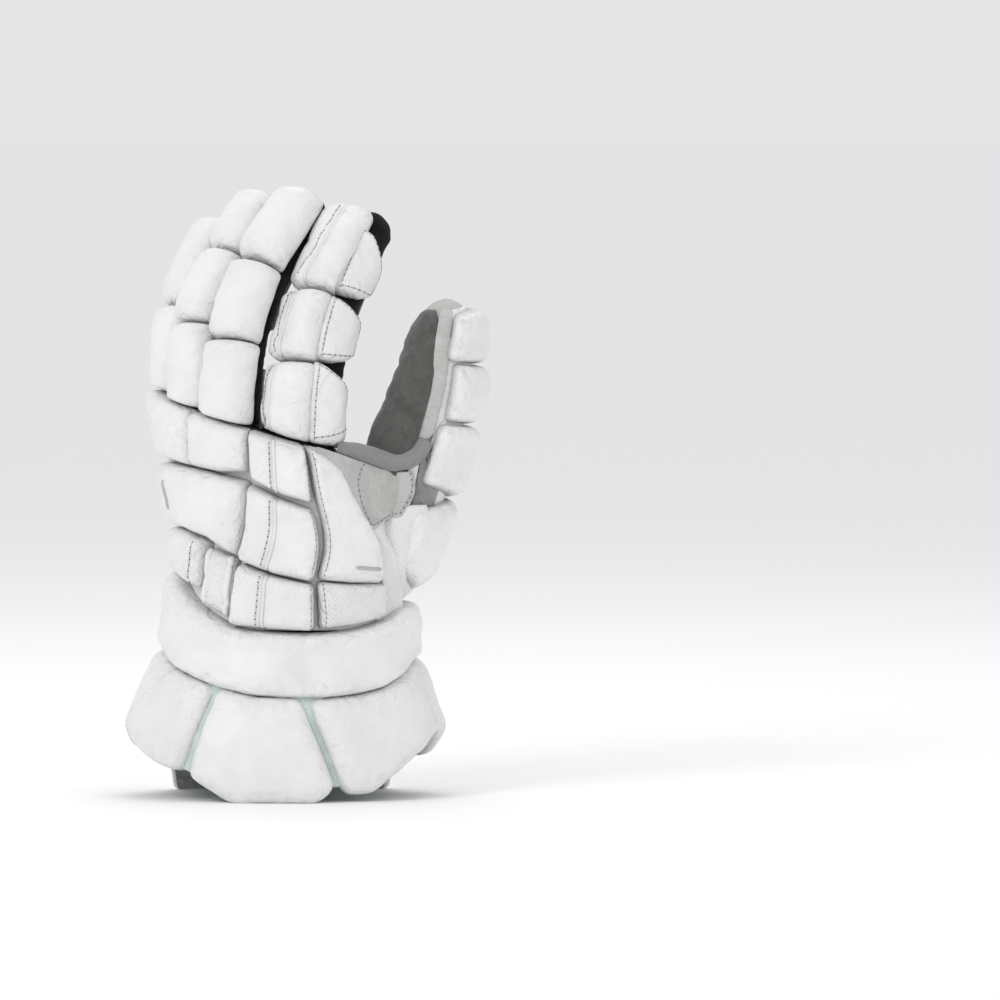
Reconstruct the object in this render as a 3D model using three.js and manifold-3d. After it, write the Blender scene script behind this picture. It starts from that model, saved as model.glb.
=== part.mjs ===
// Ice hockey glove, left hand, standing on its cuff with the fingers up.
// Millimetres, +Z up, back of the hand towards -Y, thumb towards +X.
import * as THREE from 'three';
import { mergeVertices } from 'three/addons/utils/BufferGeometryUtils.js';
import Module from 'manifold-3d';

// Driving dimensions
const WALL = 2.4;          // knit and mesh shell
const SEAT = 0.9;          // gap under a pad
const JOINT = 0.6;         // gap between neighbours
const RIM = 206;           // height row where the hand tube ends
const RIM_SLOPE = -0.27;   // fall of the finger root line towards the thumb
const PAD = 13;            // finger and knuckle rolls
const SUEDE = 1.6;
const BAND = 11;
const FLAP = 10;
const SHIFT = [-13.5, -10, 0];   // puts the box centre over the origin

// Centre, half width, half depth, turn in degrees and fall per mm of width, by height row
const HAND = [
  [0, 0, -5, 80, 45, 0, 0],
  [20, 0, -4, 79, 44, 0, 0],
  [40, 0, -2, 75, 42, 1, 0],
  [60, 1, 0, 67, 37, 3, 0],
  [80, 2, 2, 61, 31, 6, 0],
  [105, 4, 0, 59, 28, 12, 0],
  [140, 3, -1, 58, 26, 20, -0.06],
  [175, -9, 4, 55, 24, 29, -0.15],
  [RIM, -20, 11.5, 53, 20, 34, RIM_SLOPE],
];
const LINING = [
  [20, 0, -2, 67, 36, 0, 0],
  [50, 1, 0, 61, 31, 2, 0],
  [79.4, 2, 2, 59.5, 30, 6, 0],
];
const THUMB = [
  [96, 26, -2, 14, 14, -90, 0],
  [112, 45, 3, 20, 20, -90, 0],
  [130, 56, 4, 22, 20, -90, 0],
  [160, 66, 6, 20, 20, -90, 0],
  [190, 73, 8, 18.5, 20.5, -90, 0],
  [225, 82, 10, 17, 18.5, -90, 0],
  [250, 85.5, 12, 15.5, 16, -90, 0],
  [262, 87.5, 13, 12.5, 13, -90, 0],
  [269, 89, 13.5, 7, 8, -90, 0],
];

// Way the back faces in degrees, half width, half depth and the points of the centre line
const FINGERS = {
  index: {
    back: 14,
    wide: 15,
    deep: 12,
    line: [[14, -6, 186], [15, -5.5, 205], [17, -2, 226], [21, 5, 248], [28, 15, 270], [37, 27, 291], [45, 38, 308], [49, 44, 317]],
  },
  middle: {
    back: 28,
    wide: 12,
    deep: 11,
    line: [[-26, 4, 190], [-25.5, 4, 212], [-23, 7, 236], [-18, 13, 260], [-9, 22, 284], [4, 34, 305], [12, 43, 318], [16, 49, 325]],
  },
  ring: {
    back: 48,
    wide: 10.4,
    deep: 10.4,
    line: [[-41, 20, 194], [-42, 20.5, 218], [-42, 23.5, 240], [-38, 30, 262], [-26, 41, 286], [-16, 52, 305], [-9, 60, 316], [-6, 64, 321]],
  },
  little: {
    back: 66,
    wide: 10.2,
    deep: 10.2,
    line: [[-49, 42, 198], [-50, 43, 222], [-51, 46, 246], [-47, 52, 266], [-40, 60, 283], [-33, 68, 297], [-27, 75, 308]],
  },
};

// Lower and upper edge of the wrist band by angle round the wrist
const BAND_EDGE = [
  [-100, 80, 120],
  [-90, 83, 121],
  [-77, 79, 121],
  [-60, 72, 112],
  [-45, 67, 104],
  [-32, 62.5, 98],
  [-23, 60, 94],
  [-10, 57, 92],
  [18, 56, 91],
  [35, 58, 92.5],
  [48, 61, 95],
  [62, 67, 99],
  [75, 73, 104],
  [96, 76, 108],
];

const deg = Math.PI / 180;
const group = new THREE.Group();
group.name = 'ice_hockey_glove';

// Value at x in rows [x, ...values], straight between rows
function lookup(rows, x, column) {
  if (x <= rows[0][0]) {
    return rows[0][column];
  }
  for (let i = 1; i < rows.length; i += 1) {
    if (x <= rows[i][0]) {
      const t = (x - rows[i - 1][0]) / (rows[i][0] - rows[i - 1][0]);
      return rows[i - 1][column] + t * (rows[i][column] - rows[i - 1][column]);
    }
  }
  return rows[rows.length - 1][column];
}

// Skin point of a tube given by height rows: s is the row, angle 0 faces the back, rise is outwards
function tubeSkin(rows) {
  return (s, angle, rise) => {
    const [x, y, a, b, turn, fall] = [1, 2, 3, 4, 5, 6].map((c) => lookup(rows, s, c));
    const u = (a + rise) * Math.sin(angle * deg);
    const v = -(b + rise) * Math.cos(angle * deg);
    const c = Math.cos(turn * deg);
    const n = Math.sin(turn * deg);
    return new THREE.Vector3(x + u * c + v * n, y - u * n + v * c, s + fall * u);
  };
}

// Skin point of a curled finger: s is the distance along the chords of its centre line
function fingerSkin(finger) {
  const { back, wide, deep } = finger;
  const line = finger.line.map((p) => new THREE.Vector3(...p));
  const marks = [0];
  line.slice(1).forEach((p, i) => marks.push(marks[i] + p.distanceTo(line[i])));
  const length = marks[marks.length - 1];
  finger.length = length;
  const slope = (i) => {
    const low = Math.max(i - 1, 0);
    const high = Math.min(i + 1, line.length - 1);
    return line[high].clone().sub(line[low]).divideScalar(marks[high] - marks[low]);
  };
  return (s, angle, rise) => {
    let i = 0;
    while (i < line.length - 2 && marks[i + 1] < s) {
      i += 1;
    }
    const span = marks[i + 1] - marks[i];
    const t = (s - marks[i]) / span;
    const [m0, m1] = [slope(i), slope(i + 1)];
    const point = line[i].clone().multiplyScalar(2 * t ** 3 - 3 * t ** 2 + 1)
      .addScaledVector(m0, span * (t ** 3 - 2 * t ** 2 + t))
      .addScaledVector(line[i + 1], -2 * t ** 3 + 3 * t ** 2)
      .addScaledVector(m1, span * (t ** 3 - t ** 2));
    const ahead = line[i].clone().multiplyScalar((6 * t ** 2 - 6 * t) / span)
      .addScaledVector(m0, 3 * t ** 2 - 4 * t + 1)
      .addScaledVector(line[i + 1], (-6 * t ** 2 + 6 * t) / span)
      .addScaledVector(m1, 3 * t ** 2 - 2 * t)
      .normalize();
    const side = new THREE.Vector3(Math.cos(back * deg), -Math.sin(back * deg), 0);
    side.addScaledVector(ahead, -side.dot(ahead)).normalize();
    const outwards = side.clone().cross(ahead);
    const slim = 1 - 0.1 * s / length;
    const dome = s > length - deep ? Math.sqrt(Math.max(0.02, 1 - ((s - length + deep) / deep) ** 2)) : 1;
    point.addScaledVector(side, (wide * slim * dome + rise) * Math.sin(angle * deg));
    return point.addScaledVector(outwards, (deep * slim * dome + rise) * Math.cos(angle * deg));
  };
}

// Height of the finger root line above a point
function rimHeight(point) {
  const row = HAND[HAND.length - 1];
  const c = Math.cos(row[5] * deg);
  const n = Math.sin(row[5] * deg);
  return RIM + RIM_SLOPE * ((point.x - row[1]) * c - (point.y - row[2]) * n);
}

// Closed body from an outer and an inner grid of points
function slab(outer, inner) {
  const n = outer.length;
  const m = outer[0].length;
  const points = [...outer.flat(), ...inner.flat()];
  const faces = [];
  const quad = (a, b, c, d) => faces.push(a, b, c, a, c, d);
  const at = (i, j) => i * m + j;
  const under = n * m;
  for (let i = 0; i < n - 1; i += 1) {
    for (let j = 0; j < m - 1; j += 1) {
      quad(at(i, j), at(i + 1, j), at(i + 1, j + 1), at(i, j + 1));
      quad(under + at(i, j), under + at(i, j + 1), under + at(i + 1, j + 1), under + at(i + 1, j));
    }
  }
  for (let i = 0; i < n - 1; i += 1) {
    quad(at(i + 1, 0), at(i, 0), under + at(i, 0), under + at(i + 1, 0));
    quad(at(i, m - 1), at(i + 1, m - 1), under + at(i + 1, m - 1), under + at(i, m - 1));
  }
  for (let j = 0; j < m - 1; j += 1) {
    quad(at(0, j), at(0, j + 1), under + at(0, j + 1), under + at(0, j));
    quad(at(n - 1, j + 1), at(n - 1, j), under + at(n - 1, j), under + at(n - 1, j + 1));
  }
  return solid(points, faces);
}

// Closed tube body: the rings run outside, then over the end and back inside, or close on a point
function shell(rings, loop) {
  const m = rings[0].length;
  const points = rings.flat();
  const faces = [];
  const count = loop ? rings.length : rings.length - 1;
  for (let i = 0; i < count; i += 1) {
    const k = (i + 1) % rings.length;
    for (let j = 0; j < m; j += 1) {
      const l = (j + 1) % m;
      faces.push(i * m + j, k * m + j, k * m + l, i * m + j, k * m + l, i * m + l);
    }
  }
  if (!loop) {
    for (const end of [0, rings.length - 1]) {
      const middle = new THREE.Vector3();
      rings[end].forEach((p) => middle.addScaledVector(p, 1 / m));
      points.push(middle);
      for (let j = 0; j < m; j += 1) {
        const l = (j + 1) % m;
        const a = end * m + j;
        const b = end * m + l;
        if (end === 0) {
          faces.push(a, b, points.length - 1);
        } else {
          faces.push(b, a, points.length - 1);
        }
      }
    }
  }
  return solid(points, faces);
}

// Indexed geometry turned the right way out
function solid(points, faces) {
  let volume = 0;
  for (let i = 0; i < faces.length; i += 3) {
    const [a, b, c] = [points[faces[i]], points[faces[i + 1]], points[faces[i + 2]]];
    volume += a.dot(new THREE.Vector3().crossVectors(b, c));
  }
  if (volume < 0) {
    for (let i = 0; i < faces.length; i += 3) {
      [faces[i + 1], faces[i + 2]] = [faces[i + 2], faces[i + 1]];
    }
  }
  const geometry = new THREE.BufferGeometry();
  const flat = points.flatMap((p) => [p.x, p.y, p.z]);
  geometry.setAttribute('position', new THREE.Float32BufferAttribute(flat, 3));
  geometry.setIndex(faces);
  return geometry;
}

const manifold = await Module();
manifold.setup();

function toManifold(geometry) {
  const merged = mergeVertices(geometry, 1e-3);
  return new manifold.Manifold(new manifold.Mesh({
    numProp: 3,
    vertProperties: new Float32Array(merged.attributes.position.array),
    triVerts: new Uint32Array(merged.index.array),
  }));
}

function fromManifold(body) {
  const mesh = body.getMesh();
  const geometry = new THREE.BufferGeometry();
  geometry.setAttribute('position', new THREE.Float32BufferAttribute(Array.from(mesh.vertProperties), 3));
  geometry.setIndex(Array.from(mesh.triVerts));
  return geometry;
}

const COLOURS = {
  leather: 0xe9e9e6,
  knit: 0x1b1c1e,
  light_suede: 0xb9bcc0,
  mid_suede: 0x85898f,
  dark_suede: 0x54575c,
  green_lining: 0x7fb29b,
  binding: 0x222326,
};

function add(name, geometry, colour) {
  const shaded = geometry.toNonIndexed();
  shaded.computeVertexNormals();
  const material = new THREE.MeshStandardMaterial({ color: COLOURS[colour], roughness: 0.8 });
  const mesh = new THREE.Mesh(shaded, material);
  mesh.name = name;
  mesh.position.set(...SHIFT);
  group.add(mesh);
}

const hand = tubeSkin(HAND);
const lining = tubeSkin(LINING);
const thumb = tubeSkin(THUMB);

function ring(skin, s, rise, count) {
  return Array.from({ length: count }, (_, i) => skin(s, -180 + 360 * i / count, rise));
}

function rows(low, high, count) {
  return Array.from({ length: count }, (_, i) => low + (high - low) * i / (count - 1));
}

// Pad on a skin. Columns are [angle low, s low, angle high, s high, thickness]
function pad(name, skin, columns, colour, options = {}) {
  const tall = Math.abs(columns[1][3] - columns[1][1]) > 42 && options.foot === undefined;
  const { seat = SEAT, along = tall ? 8 : 5, across = 2, soft = 0.45, foot = 0 } = options;
  const steps = [];
  for (let i = 0; i < columns.length - 1; i += 1) {
    for (let k = 0; k < across; k += 1) {
      const t = k / across;
      steps.push(columns[i].map((value, c) => value + t * (columns[i + 1][c] - value)));
    }
  }
  steps.push(columns[columns.length - 1]);
  const spread = [0, 0.12, 0.5, 0.88, 1];
  const marks = along === 5 ? spread : rows(0, 1, along + 1);
  const swell = (t) => 1 - soft * Math.abs(2 * t - 1) ** 5;
  const outer = [];
  const inner = [];
  steps.forEach((step, i) => {
    const edge = swell(i / (steps.length - 1));
    const top = [];
    const under = [];
    marks.forEach((t, j) => {
      const angle = step[0] + t * (step[2] - step[0]);
      const s = step[1] + t * (step[3] - step[1]);
      const a = skin(s, angle, seat + step[4] * edge * swell(t));
      const b = skin(s, angle, seat);
      if (foot > 0 && j === 0) {
        a.z = rimHeight(a) + foot;
        b.z = rimHeight(b) + foot;
      }
      top.push(a);
      under.push(b);
    });
    outer.push(top);
    inner.push(under);
  });
  add(name, slab(outer, inner), colour);
}

// Hand tube and thumb tube, open into each other
const handRows = [80, 92, 105, 122, 140, 158, 175, 190, RIM];
const handOut = handRows.map((s) => ring(hand, s, 0, 28));
const handIn = [...handRows].reverse().map((s) => ring(hand, s, -WALL, 28));
const handGrown = shell([70, ...handRows.slice(1)].map((s) => ring(hand, s, 0.35, 28)), false);
const thumbRows = THUMB.map((row) => row[0]);
const thumbOuter = shell([...thumbRows.map((s) => ring(thumb, s, 0, 20)), ring(thumb, 271, -4, 20)], false);
const thumbGrown = shell([...thumbRows.map((s) => ring(thumb, s, 0.35, 20)), ring(thumb, 271.4, -4, 20)], false);
const thumbInner = shell(thumbRows.map((s) => ring(thumb, s - 2.5, -WALL, 20)), false);
const thumbHole = shell(thumbRows.map((s) => ring(thumb, s + 1, -WALL - 0.4, 20)), false);
add('hand_shell', fromManifold(toManifold(shell([...handOut, ...handIn], true)).subtract(toManifold(thumbHole))), 'knit');
add(
  'thumb_stall',
  fromManifold(toManifold(thumbOuter).subtract(toManifold(thumbInner)).subtract(toManifold(handGrown))),
  'knit',
);

// Finger tubes, open at the root
const skins = {};
for (const [name, finger] of Object.entries(FINGERS)) {
  const skin = fingerSkin(finger);
  skins[name] = skin;
  const end = finger.length;
  const first = 17;
  const marks = [first, 28, 44, 64, 84, 104, end - 28, end - 11, end - 6, end - 2].filter((s) => s <= end - 2);
  const used = marks.filter((s, i) => i === 0 || s > marks[i - 1] + 2);
  const outside = used.map((s) => ring(skin, s, 0, 16));
  const inside = used.slice(0, -2).map((s) => ring(skin, s, -2, 16));
  inside.push(ring(skin, end - 9, -2.6, 16));
  for (const rim of [outside[0], inside[0]]) {
    rim.forEach((p) => {
      p.z = rimHeight(p) + 0.4;
    });
  }
  const body = toManifold(shell(outside, false)).subtract(toManifold(shell(
    [inside[0].map((p) => p.clone().setZ(p.z - 3)), ...inside.slice(1)],
    false,
  )));
  add(`${name}_stall`, fromManifold(body), 'knit');
}

// Finger rolls: thickness by angle across the finger, then the segments along it
const ROLL = [
  [-62, 2.6],
  [-45, 8],
  [-26, 12],
  [0, PAD],
  [26, 12],
  [45, 8],
  [62, 2.6],
];
const INDEX_ROLL = [
  [-70, 11],
  [-58, 13],
  [-43, 13.5],
  [-28, 13],
  [-10, PAD],
  [8, 12.5],
  [26, 11],
  [46, 8.5],
  [64, 8],
  [82, 10],
];
const SEGMENTS = {
  index: [[15, 46], [48.5, 84], [87, 139]],
  middle: [[18, 55], [57, 97], [100, 146]],
  ring: [[22, 59], [61, 100], [102.5, 141]],
  little: [[24, 63], [65, 116]],
};
for (const [name, segments] of Object.entries(SEGMENTS)) {
  segments.forEach(([low, high], i) => {
    const shape = name === 'index' ? INDEX_ROLL : ROLL;
    const columns = shape.map(([angle, thick]) => [angle, low, angle, high, thick]);
    pad(`${name}_roll_${i + 1}`, skins[name], columns, 'leather', { across: 1, seat: 1.1, foot: i === 0 ? 0.8 : 0 });
  });
}

// Suede on the palm side of each finger
for (const [name, low, high, colour] of [
  ['index', 62, 118, 'mid_suede'],
  ['middle', 62, 122, 'mid_suede'],
  ['ring', 62, 118, 'light_suede'],
  ['little', 48, 98, 'light_suede'],
]) {
  const columns = [[128, low, 128, high, SUEDE], [180, low, 180, high, SUEDE], [232, low, 232, high, SUEDE]];
  pad(`${name}_finger_patch`, skins[name], columns, colour, { seat: 0.8, along: 5, across: 3, soft: 0 });
}

// Rolls and panels on the back of the hand
const TOP = RIM - 1.2;
const BACK = {
  knuckle_ring: [[-80, 177.5, -81, TOP, 10], [-55, 176.5, -50, TOP, PAD], [-29.5, 176.5, -19.5, TOP, PAD]],
  knuckle_middle: [[-28, 176.5, -17.5, TOP, PAD], [-11, 177, 0, TOP, PAD], [6.5, 180.5, 16.5, TOP, PAD]],
  back_block_1: [[8.5, 177, 18.5, TOP, PAD], [21, 170, 35, TOP, PAD], [36, 167, 53, TOP, PAD]],
  back_block_2: [[-17, 130.5, 5.5, 172, PAD], [0, 124, 20, 165.5, PAD], [18, 120, 33, 161.5, PAD]],
  back_block_3: [[-24, 96, -16.5, 127.5, PAD], [-4, 93.8, 0, 121.5, PAD], [16, 92.8, 18.5, 117, PAD]],
  side_roll_long: [
    [-79, 144, -79, 172, 11],
    [-49, 143.5, -44, 174, PAD],
    [-32, 140, -20, 174, PAD],
    [-19, 132, 4, 173, PAD],
  ],
  side_roll_short: [[-79, 126, -79, 142, 11], [-60, 120, -58, 141.5, 12], [-44, 114, -38.5, 137.5, 12]],
  vent_notch: [[-42, 108, -36, 134, 7], [-26.5, 99, -20.5, 129.5, 7]],
  thumb_side_panel_upper: [[22, 121.5, 57.5, TOP, 12], [38, 120, 66, 202, 11], [60, 119.5, 76, 192, 8]],
  thumb_side_panel_lower: [[20.5, 93.5, 22, 119, 12], [38, 96, 38, 118, 11], [58, 100, 64, 118, 8]],
  side_pad_upper: [
    [-130, 172, -128, 186, 7],
    [-114, 161, -116, 202, 8],
    [-99, 163, -103, 204, 8],
    [-82.5, 166, -84.5, TOP, 8],
  ],
  side_pad_lower: [[-138, 94, -132, 158, 6], [-118, 99, -111, 158, 8], [-98, 124, -84, 160, 9]],
};
for (const [name, columns] of Object.entries(BACK)) {
  pad(name, hand, columns, 'leather', { seat: 1 });
}
// Wrist band and the pieces that close it on the palm side
function bandEdge(angle, column) {
  return lookup(BAND_EDGE, angle, column);
}
pad(
  'wrist_band',
  hand,
  BAND_EDGE.map(([angle, low, high]) => [angle, low, angle, high, BAND]),
  'leather',
  { soft: 0.3 },
);
pad('band_elastic', hand, [[-114, 80, -114, 99, 3], [-101.5, 81, -101.5, 107, 3]], 'binding', { soft: 0, along: 2 });
pad('thumb_side_tab', hand, [[97.5, 83, 97.5, 105, 3], [111, 85, 111, 101, 3]], 'leather', { soft: 0, along: 2 });
pad('rim_binding', hand, [
  [113, 85, 113, 97, 3.5],
  [140, 85, 140, 97.5, 3.5],
  [168, 86, 168, 99, 3.5],
  [205, 79, 205, 93, 3.5],
  [230, 77, 230, 88.5, 3.5],
  [245, 76.5, 245, 86, 3.5],
], 'binding', { soft: 0.3, along: 3 });

// Palm panels
const PALM = {
  palm_panel_upper: [[176, 192.5, 172, TOP], [194, 185.5, 194, TOP], [229, 176, 226, TOP]],
  palm_band_diagonal: [[150, 189, 146, 202], [167, 183.5, 160, 197], [182, 176, 174, 190], [197, 168.5, 192, 183], [231, 160, 228, 174]],
  heel_patch: [[179, 100.5, 165, 163], [186, 99, 176, 168], [200, 96, 198, 160], [219, 93, 226, 148]],
};
for (const [name, columns] of Object.entries(PALM)) {
  pad(name, hand, columns.map((row) => [...row, SUEDE]), 'light_suede', { along: 4, soft: 0 });
}

// Thumb rolls and suede
const THUMB_PADS = {
  thumb_roll_1: [[-74, 239, -66, 263, 7], [0, 237, 0, 266, 9], [56, 239, 50, 263, 7]],
  thumb_roll_2: [[-60, 206, -62, 236, 8], [0, 204, 0, 234, 10], [58, 206, 57, 236, 8]],
  thumb_roll_3: [[-72, 172, -66, 203, 8], [0, 164, 0, 201, 10], [60, 166, 59, 203, 8]],
  thumb_roll_4: [[-64, 128, -74, 169, 7], [0, 113, 0, 161, 8], [60, 118, 60, 163, 7]],
};
for (const [name, columns] of Object.entries(THUMB_PADS)) {
  pad(name, thumb, columns, 'leather', { across: 3, seat: 1.2 });
}
const THUMB_SUEDE = {
  thumb_suede_panel: ['light_suede', [[62, 128, 61, 246], [92, 140, 92, 246], [122, 150, 120, 244]]],
  thumb_gusset: ['dark_suede', [[124, 186, 122, 250], [150, 196, 148, 250]]],
  thumb_inner_suede: ['dark_suede', [[-177, 206, -177, 256], [-140, 204, -140, 256], [-92, 206, -98, 256]]],
  thumb_border_strip: ['mid_suede', [[-90, 206, -96, 256], [-68, 206, -80, 256]]],
  thumb_flex_patch: ['mid_suede', [[-112, 166, -112, 201], [-76, 176, -72, 201]]],
};
for (const [name, [colour, columns]] of Object.entries(THUMB_SUEDE)) {
  const rows5 = columns.map((row) => [...row, SUEDE]);
  pad(name, thumb, rows5, colour, { along: name === 'thumb_suede_panel' ? 8 : 5, across: 3, soft: 0 });
}
pad('web_patch', hand, [[69, 150, 79, 188, SUEDE], [88, 152, 92, 184, SUEDE]], 'light_suede', { soft: 0 });

// Roll in the crotch between thumb and index finger
const crotch = new THREE.CatmullRomCurve3([
  new THREE.Vector3(29, -16, 183),
  new THREE.Vector3(40, -10, 184),
  new THREE.Vector3(50, -4, 187),
  new THREE.Vector3(60, 2, 192),
]);
const crotchRings = rows(0, 1, 7).map((t) => {
  const centre = crotch.getPoint(t);
  const ahead = crotch.getTangent(t);
  const across = new THREE.Vector3(0, 0, 1).cross(ahead).normalize();
  const up = ahead.clone().cross(across);
  return Array.from({ length: 10 }, (_, i) => {
    const turn = 2 * Math.PI * i / 10;
    return centre.clone()
      .addScaledVector(across, 9 * Math.cos(turn))
      .addScaledVector(up, 6 * Math.sin(turn));
  });
});
add(
  'crotch_roll',
  fromManifold(toManifold(shell(crotchRings, false))
    .subtract(toManifold(handGrown))
    .subtract(toManifold(thumbGrown))),
  'dark_suede',
);

// Cuff: green lining tube and the flaps that stand off it
const liningRows = [20, 35, 50, 64, 79.4];
add('green_lining', shell([
  ...liningRows.map((s) => ring(lining, s, 0, 24)),
  ...[...liningRows].reverse().map((s) => ring(lining, s, -WALL, 24)),
], true), 'green_lining');

function flap(name, columns) {
  const edged = columns.map(([low, base, high]) => {
    const top = high < -100 || high > 96 ? 78 : bandEdge(high, 1) - JOINT;
    return [low, base, high, Math.min(top, 79), FLAP];
  });
  pad(name, hand, edged, 'leather', { soft: 0.3, across: 1 });
}
flap('cuff_flap_little_side', [[-110, 22, -108], [-95, 33, -95], [-80, 36, -77], [-66, 27, -60], [-52, 20, -45], [-39.5, 16, -29]]);
flap('cuff_middle_plate', [[-36, 15, -26.5], [-30, 9, -23], [-18, 0, -15], [-8, 0, -10], [3, 0, -3], [12, 0, 2], [19.5, 8, 8]]);
flap('cuff_flap_thumb_side', [
  [22.5, 6, 11],
  [27, 4.5, 18],
  [35, 5.5, 27],
  [42, 12, 35],
  [52, 20, 48],
  [62, 27, 62],
  [76, 35, 75],
  [96, 32, 96],
  [117, 18, 113],
]);

// Wrist strap on the palm side
pad('strap_thumb_side', hand, [[138, 0, 129.5, 74, 6], [160.8, 0, 157.3, 74, 6]], 'leather', { across: 3, soft: 0.2 });
pad('strap_little_side', hand, [[161.4, 0, 158, 74, 4], [228, 0, 240, 73, 4]], 'leather', { across: 6, soft: 0.2 });
pad('closure_tab', hand, [[162, 2, 158.5, 72, 3], [183, 5, 184, 62, 3], [203, 12, 208, 53, 3]], 'leather', { seat: 5.6, soft: 0.2 });
pad('cuff_elastic_thumb_side', hand, [[117.1, 27, 115.4, 54, 2], [134.4, 27, 131.3, 54, 2]], 'binding', { soft: 0, along: 4 });
pad('cuff_elastic_little_side', hand, [[232.8, 26, 237.9, 57, 2], [249.5, 26, 250.6, 57, 2]], 'binding', { soft: 0, along: 4 });

export default group;
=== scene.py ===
"""Ice hockey glove for the left hand, standing on its cuff, back of the hand towards the camera.

Every pad, patch and band is a surface worked out on the skin that carries it: the hand tube, the thumb
tube or a curled finger tube. Lengths in the tables are millimetres in the pattern's own frame, and
metres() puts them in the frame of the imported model.
"""
import math

import bpy
import numpy as np
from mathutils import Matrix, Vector


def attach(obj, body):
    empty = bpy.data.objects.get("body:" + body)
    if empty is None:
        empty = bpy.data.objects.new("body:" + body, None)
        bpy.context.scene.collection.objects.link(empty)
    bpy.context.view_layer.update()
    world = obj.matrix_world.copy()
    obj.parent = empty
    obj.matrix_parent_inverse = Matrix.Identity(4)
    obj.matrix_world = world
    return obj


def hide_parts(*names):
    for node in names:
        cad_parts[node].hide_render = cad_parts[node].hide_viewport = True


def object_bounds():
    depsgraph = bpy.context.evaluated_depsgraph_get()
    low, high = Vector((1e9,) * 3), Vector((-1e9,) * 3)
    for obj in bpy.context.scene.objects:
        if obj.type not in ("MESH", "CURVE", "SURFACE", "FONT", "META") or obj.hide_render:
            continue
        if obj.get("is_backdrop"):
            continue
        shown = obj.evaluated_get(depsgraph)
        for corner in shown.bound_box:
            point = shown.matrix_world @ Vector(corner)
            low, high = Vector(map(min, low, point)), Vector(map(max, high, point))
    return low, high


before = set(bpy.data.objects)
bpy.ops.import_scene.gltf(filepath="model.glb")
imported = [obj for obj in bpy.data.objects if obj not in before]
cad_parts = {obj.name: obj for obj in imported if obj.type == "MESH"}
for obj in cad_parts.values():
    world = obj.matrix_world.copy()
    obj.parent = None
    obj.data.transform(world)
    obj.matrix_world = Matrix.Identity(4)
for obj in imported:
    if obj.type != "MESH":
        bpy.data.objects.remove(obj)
cad_low, cad_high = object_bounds()

SHIFT = np.array([-13.5, -10.0, 0.0])
PATTERN_PER_MM = 0.1            # one unit of a piece's own pattern map is a centimetre
MM = 0.001                      # a millimetre in metres

# Camera and light: metres, and degrees for the rise
CAMERA_DISTANCE = 4.2
CAMERA_RISE = 3.0
PHOTO_WIDTH = 0.55
PHOTO_CENTRE = (0.1048, 0.1612)
SENSOR = 36                     # mm
LAMP_AIM = (0.0, 0.0, 0.16)
SKY = 0.78

# Hand tube: height row, centre x and y, half width, half depth, turn in degrees, fall per mm of width
HAND = [
    [0, 0, -5, 80, 45, 0, 0], [20, 0, -4, 79, 44, 0, 0], [40, 0, -2, 75, 42, 1, 0],
    [60, 1, 0, 67, 37, 3, 0], [80, 2, 2, 61, 31, 6, 0], [105, 4, 0, 59, 28, 12, 0],
    [140, 3, -1, 58, 26, 20, -0.06], [175, -9, 4, 55, 24, 29, -0.15], [206, -20, 11.5, 53, 20, 34, -0.27],
]
LINING = [[20, 0, -2, 67, 36, 0, 0], [50, 1, 0, 61, 31, 2, 0], [79.4, 2, 2, 59.5, 30, 6, 0]]
THUMB = [[*row, -90, 0] for row in (
    (96, 26, -2, 14, 14), (112, 45, 3, 20, 20), (130, 56, 4, 22, 20), (160, 66, 6, 20, 20), (190, 73, 8, 18.5, 20.5),
    (225, 82, 10, 17, 18.5), (250, 85.5, 12, 15.5, 16), (262, 87.5, 13, 12.5, 13), (269, 88.6, 13.5, 7, 8),
    (272, 88.9, 13.6, 1.5, 1.5))]
# Fingers: way the back faces in degrees, half width, half depth, points of the centre line
FINGERS = {
    "index": (14, 15, 12, [[14, -6, 186], [15, -5.5, 205], [17, -2, 226], [21, 5, 248], [28, 15, 270],
                           [37, 27, 291], [45, 38, 308], [49, 44, 317]]),
    "middle": (28, 12, 11, [[-26, 4, 190], [-25.5, 4, 212], [-23, 7, 236], [-18, 13, 260], [-9, 22, 284],
                            [4, 34, 305], [12, 43, 318], [16, 49, 325]]),
    "ring": (48, 10.4, 10.4, [[-41, 20, 194], [-42, 20.5, 218], [-42, 23.5, 240], [-38, 30, 262],
                              [-26, 41, 286], [-16, 52, 305], [-9, 60, 316], [-6, 64, 321]]),
    "little": (66, 10.2, 10.2, [[-49, 42, 198], [-50, 43, 222], [-51, 46, 246], [-47, 52, 266],
                                [-40, 60, 283], [-33, 68, 297], [-27, 75, 308]]),
}
RIM, RIM_SLOPE = HAND[-1][0], HAND[-1][6]
# Cloth of the padded covers: it is rested at ten times its size, a millimetre being a centimetre
CLOTH_SCALE = 0.01
CLOTH_PRESSURE = 4.0
CLOTH_SPARE = 0.035             # share by which the cloth is cut too large
CLOTH_FRAMES = 20
CLOTH_STEP = 2.4                # mm between the points of the cloth
CLOTH_MOVE = (-0.9, 1.9)        # mm that it may sink or rise
CLOTH_THICK = 4.5               # mm, a pad above this is rested
PROBE = 12                      # mm outwards, to find which way a skin faces
WALL = 2.4                      # mm, wall of the open cloth tubes
SUEDE = 1.6                     # mm, how thick the suede stands
LINK = 60                       # samples between two corners of a path
INSIDE = 12                     # mm from a pad's edge to where its face counts as inside
SMALLEST_FLAT = 10.1            # mm, least side of a flat sheet passed to lay_flat
LEAST_AREA = 0.31               # least share of width by length for a flat sheet's area in lay_flat


def metres(points):
    """Pattern millimetres to metres in the model's frame."""
    return (np.asarray(points, float) + SHIFT) * MM


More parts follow.
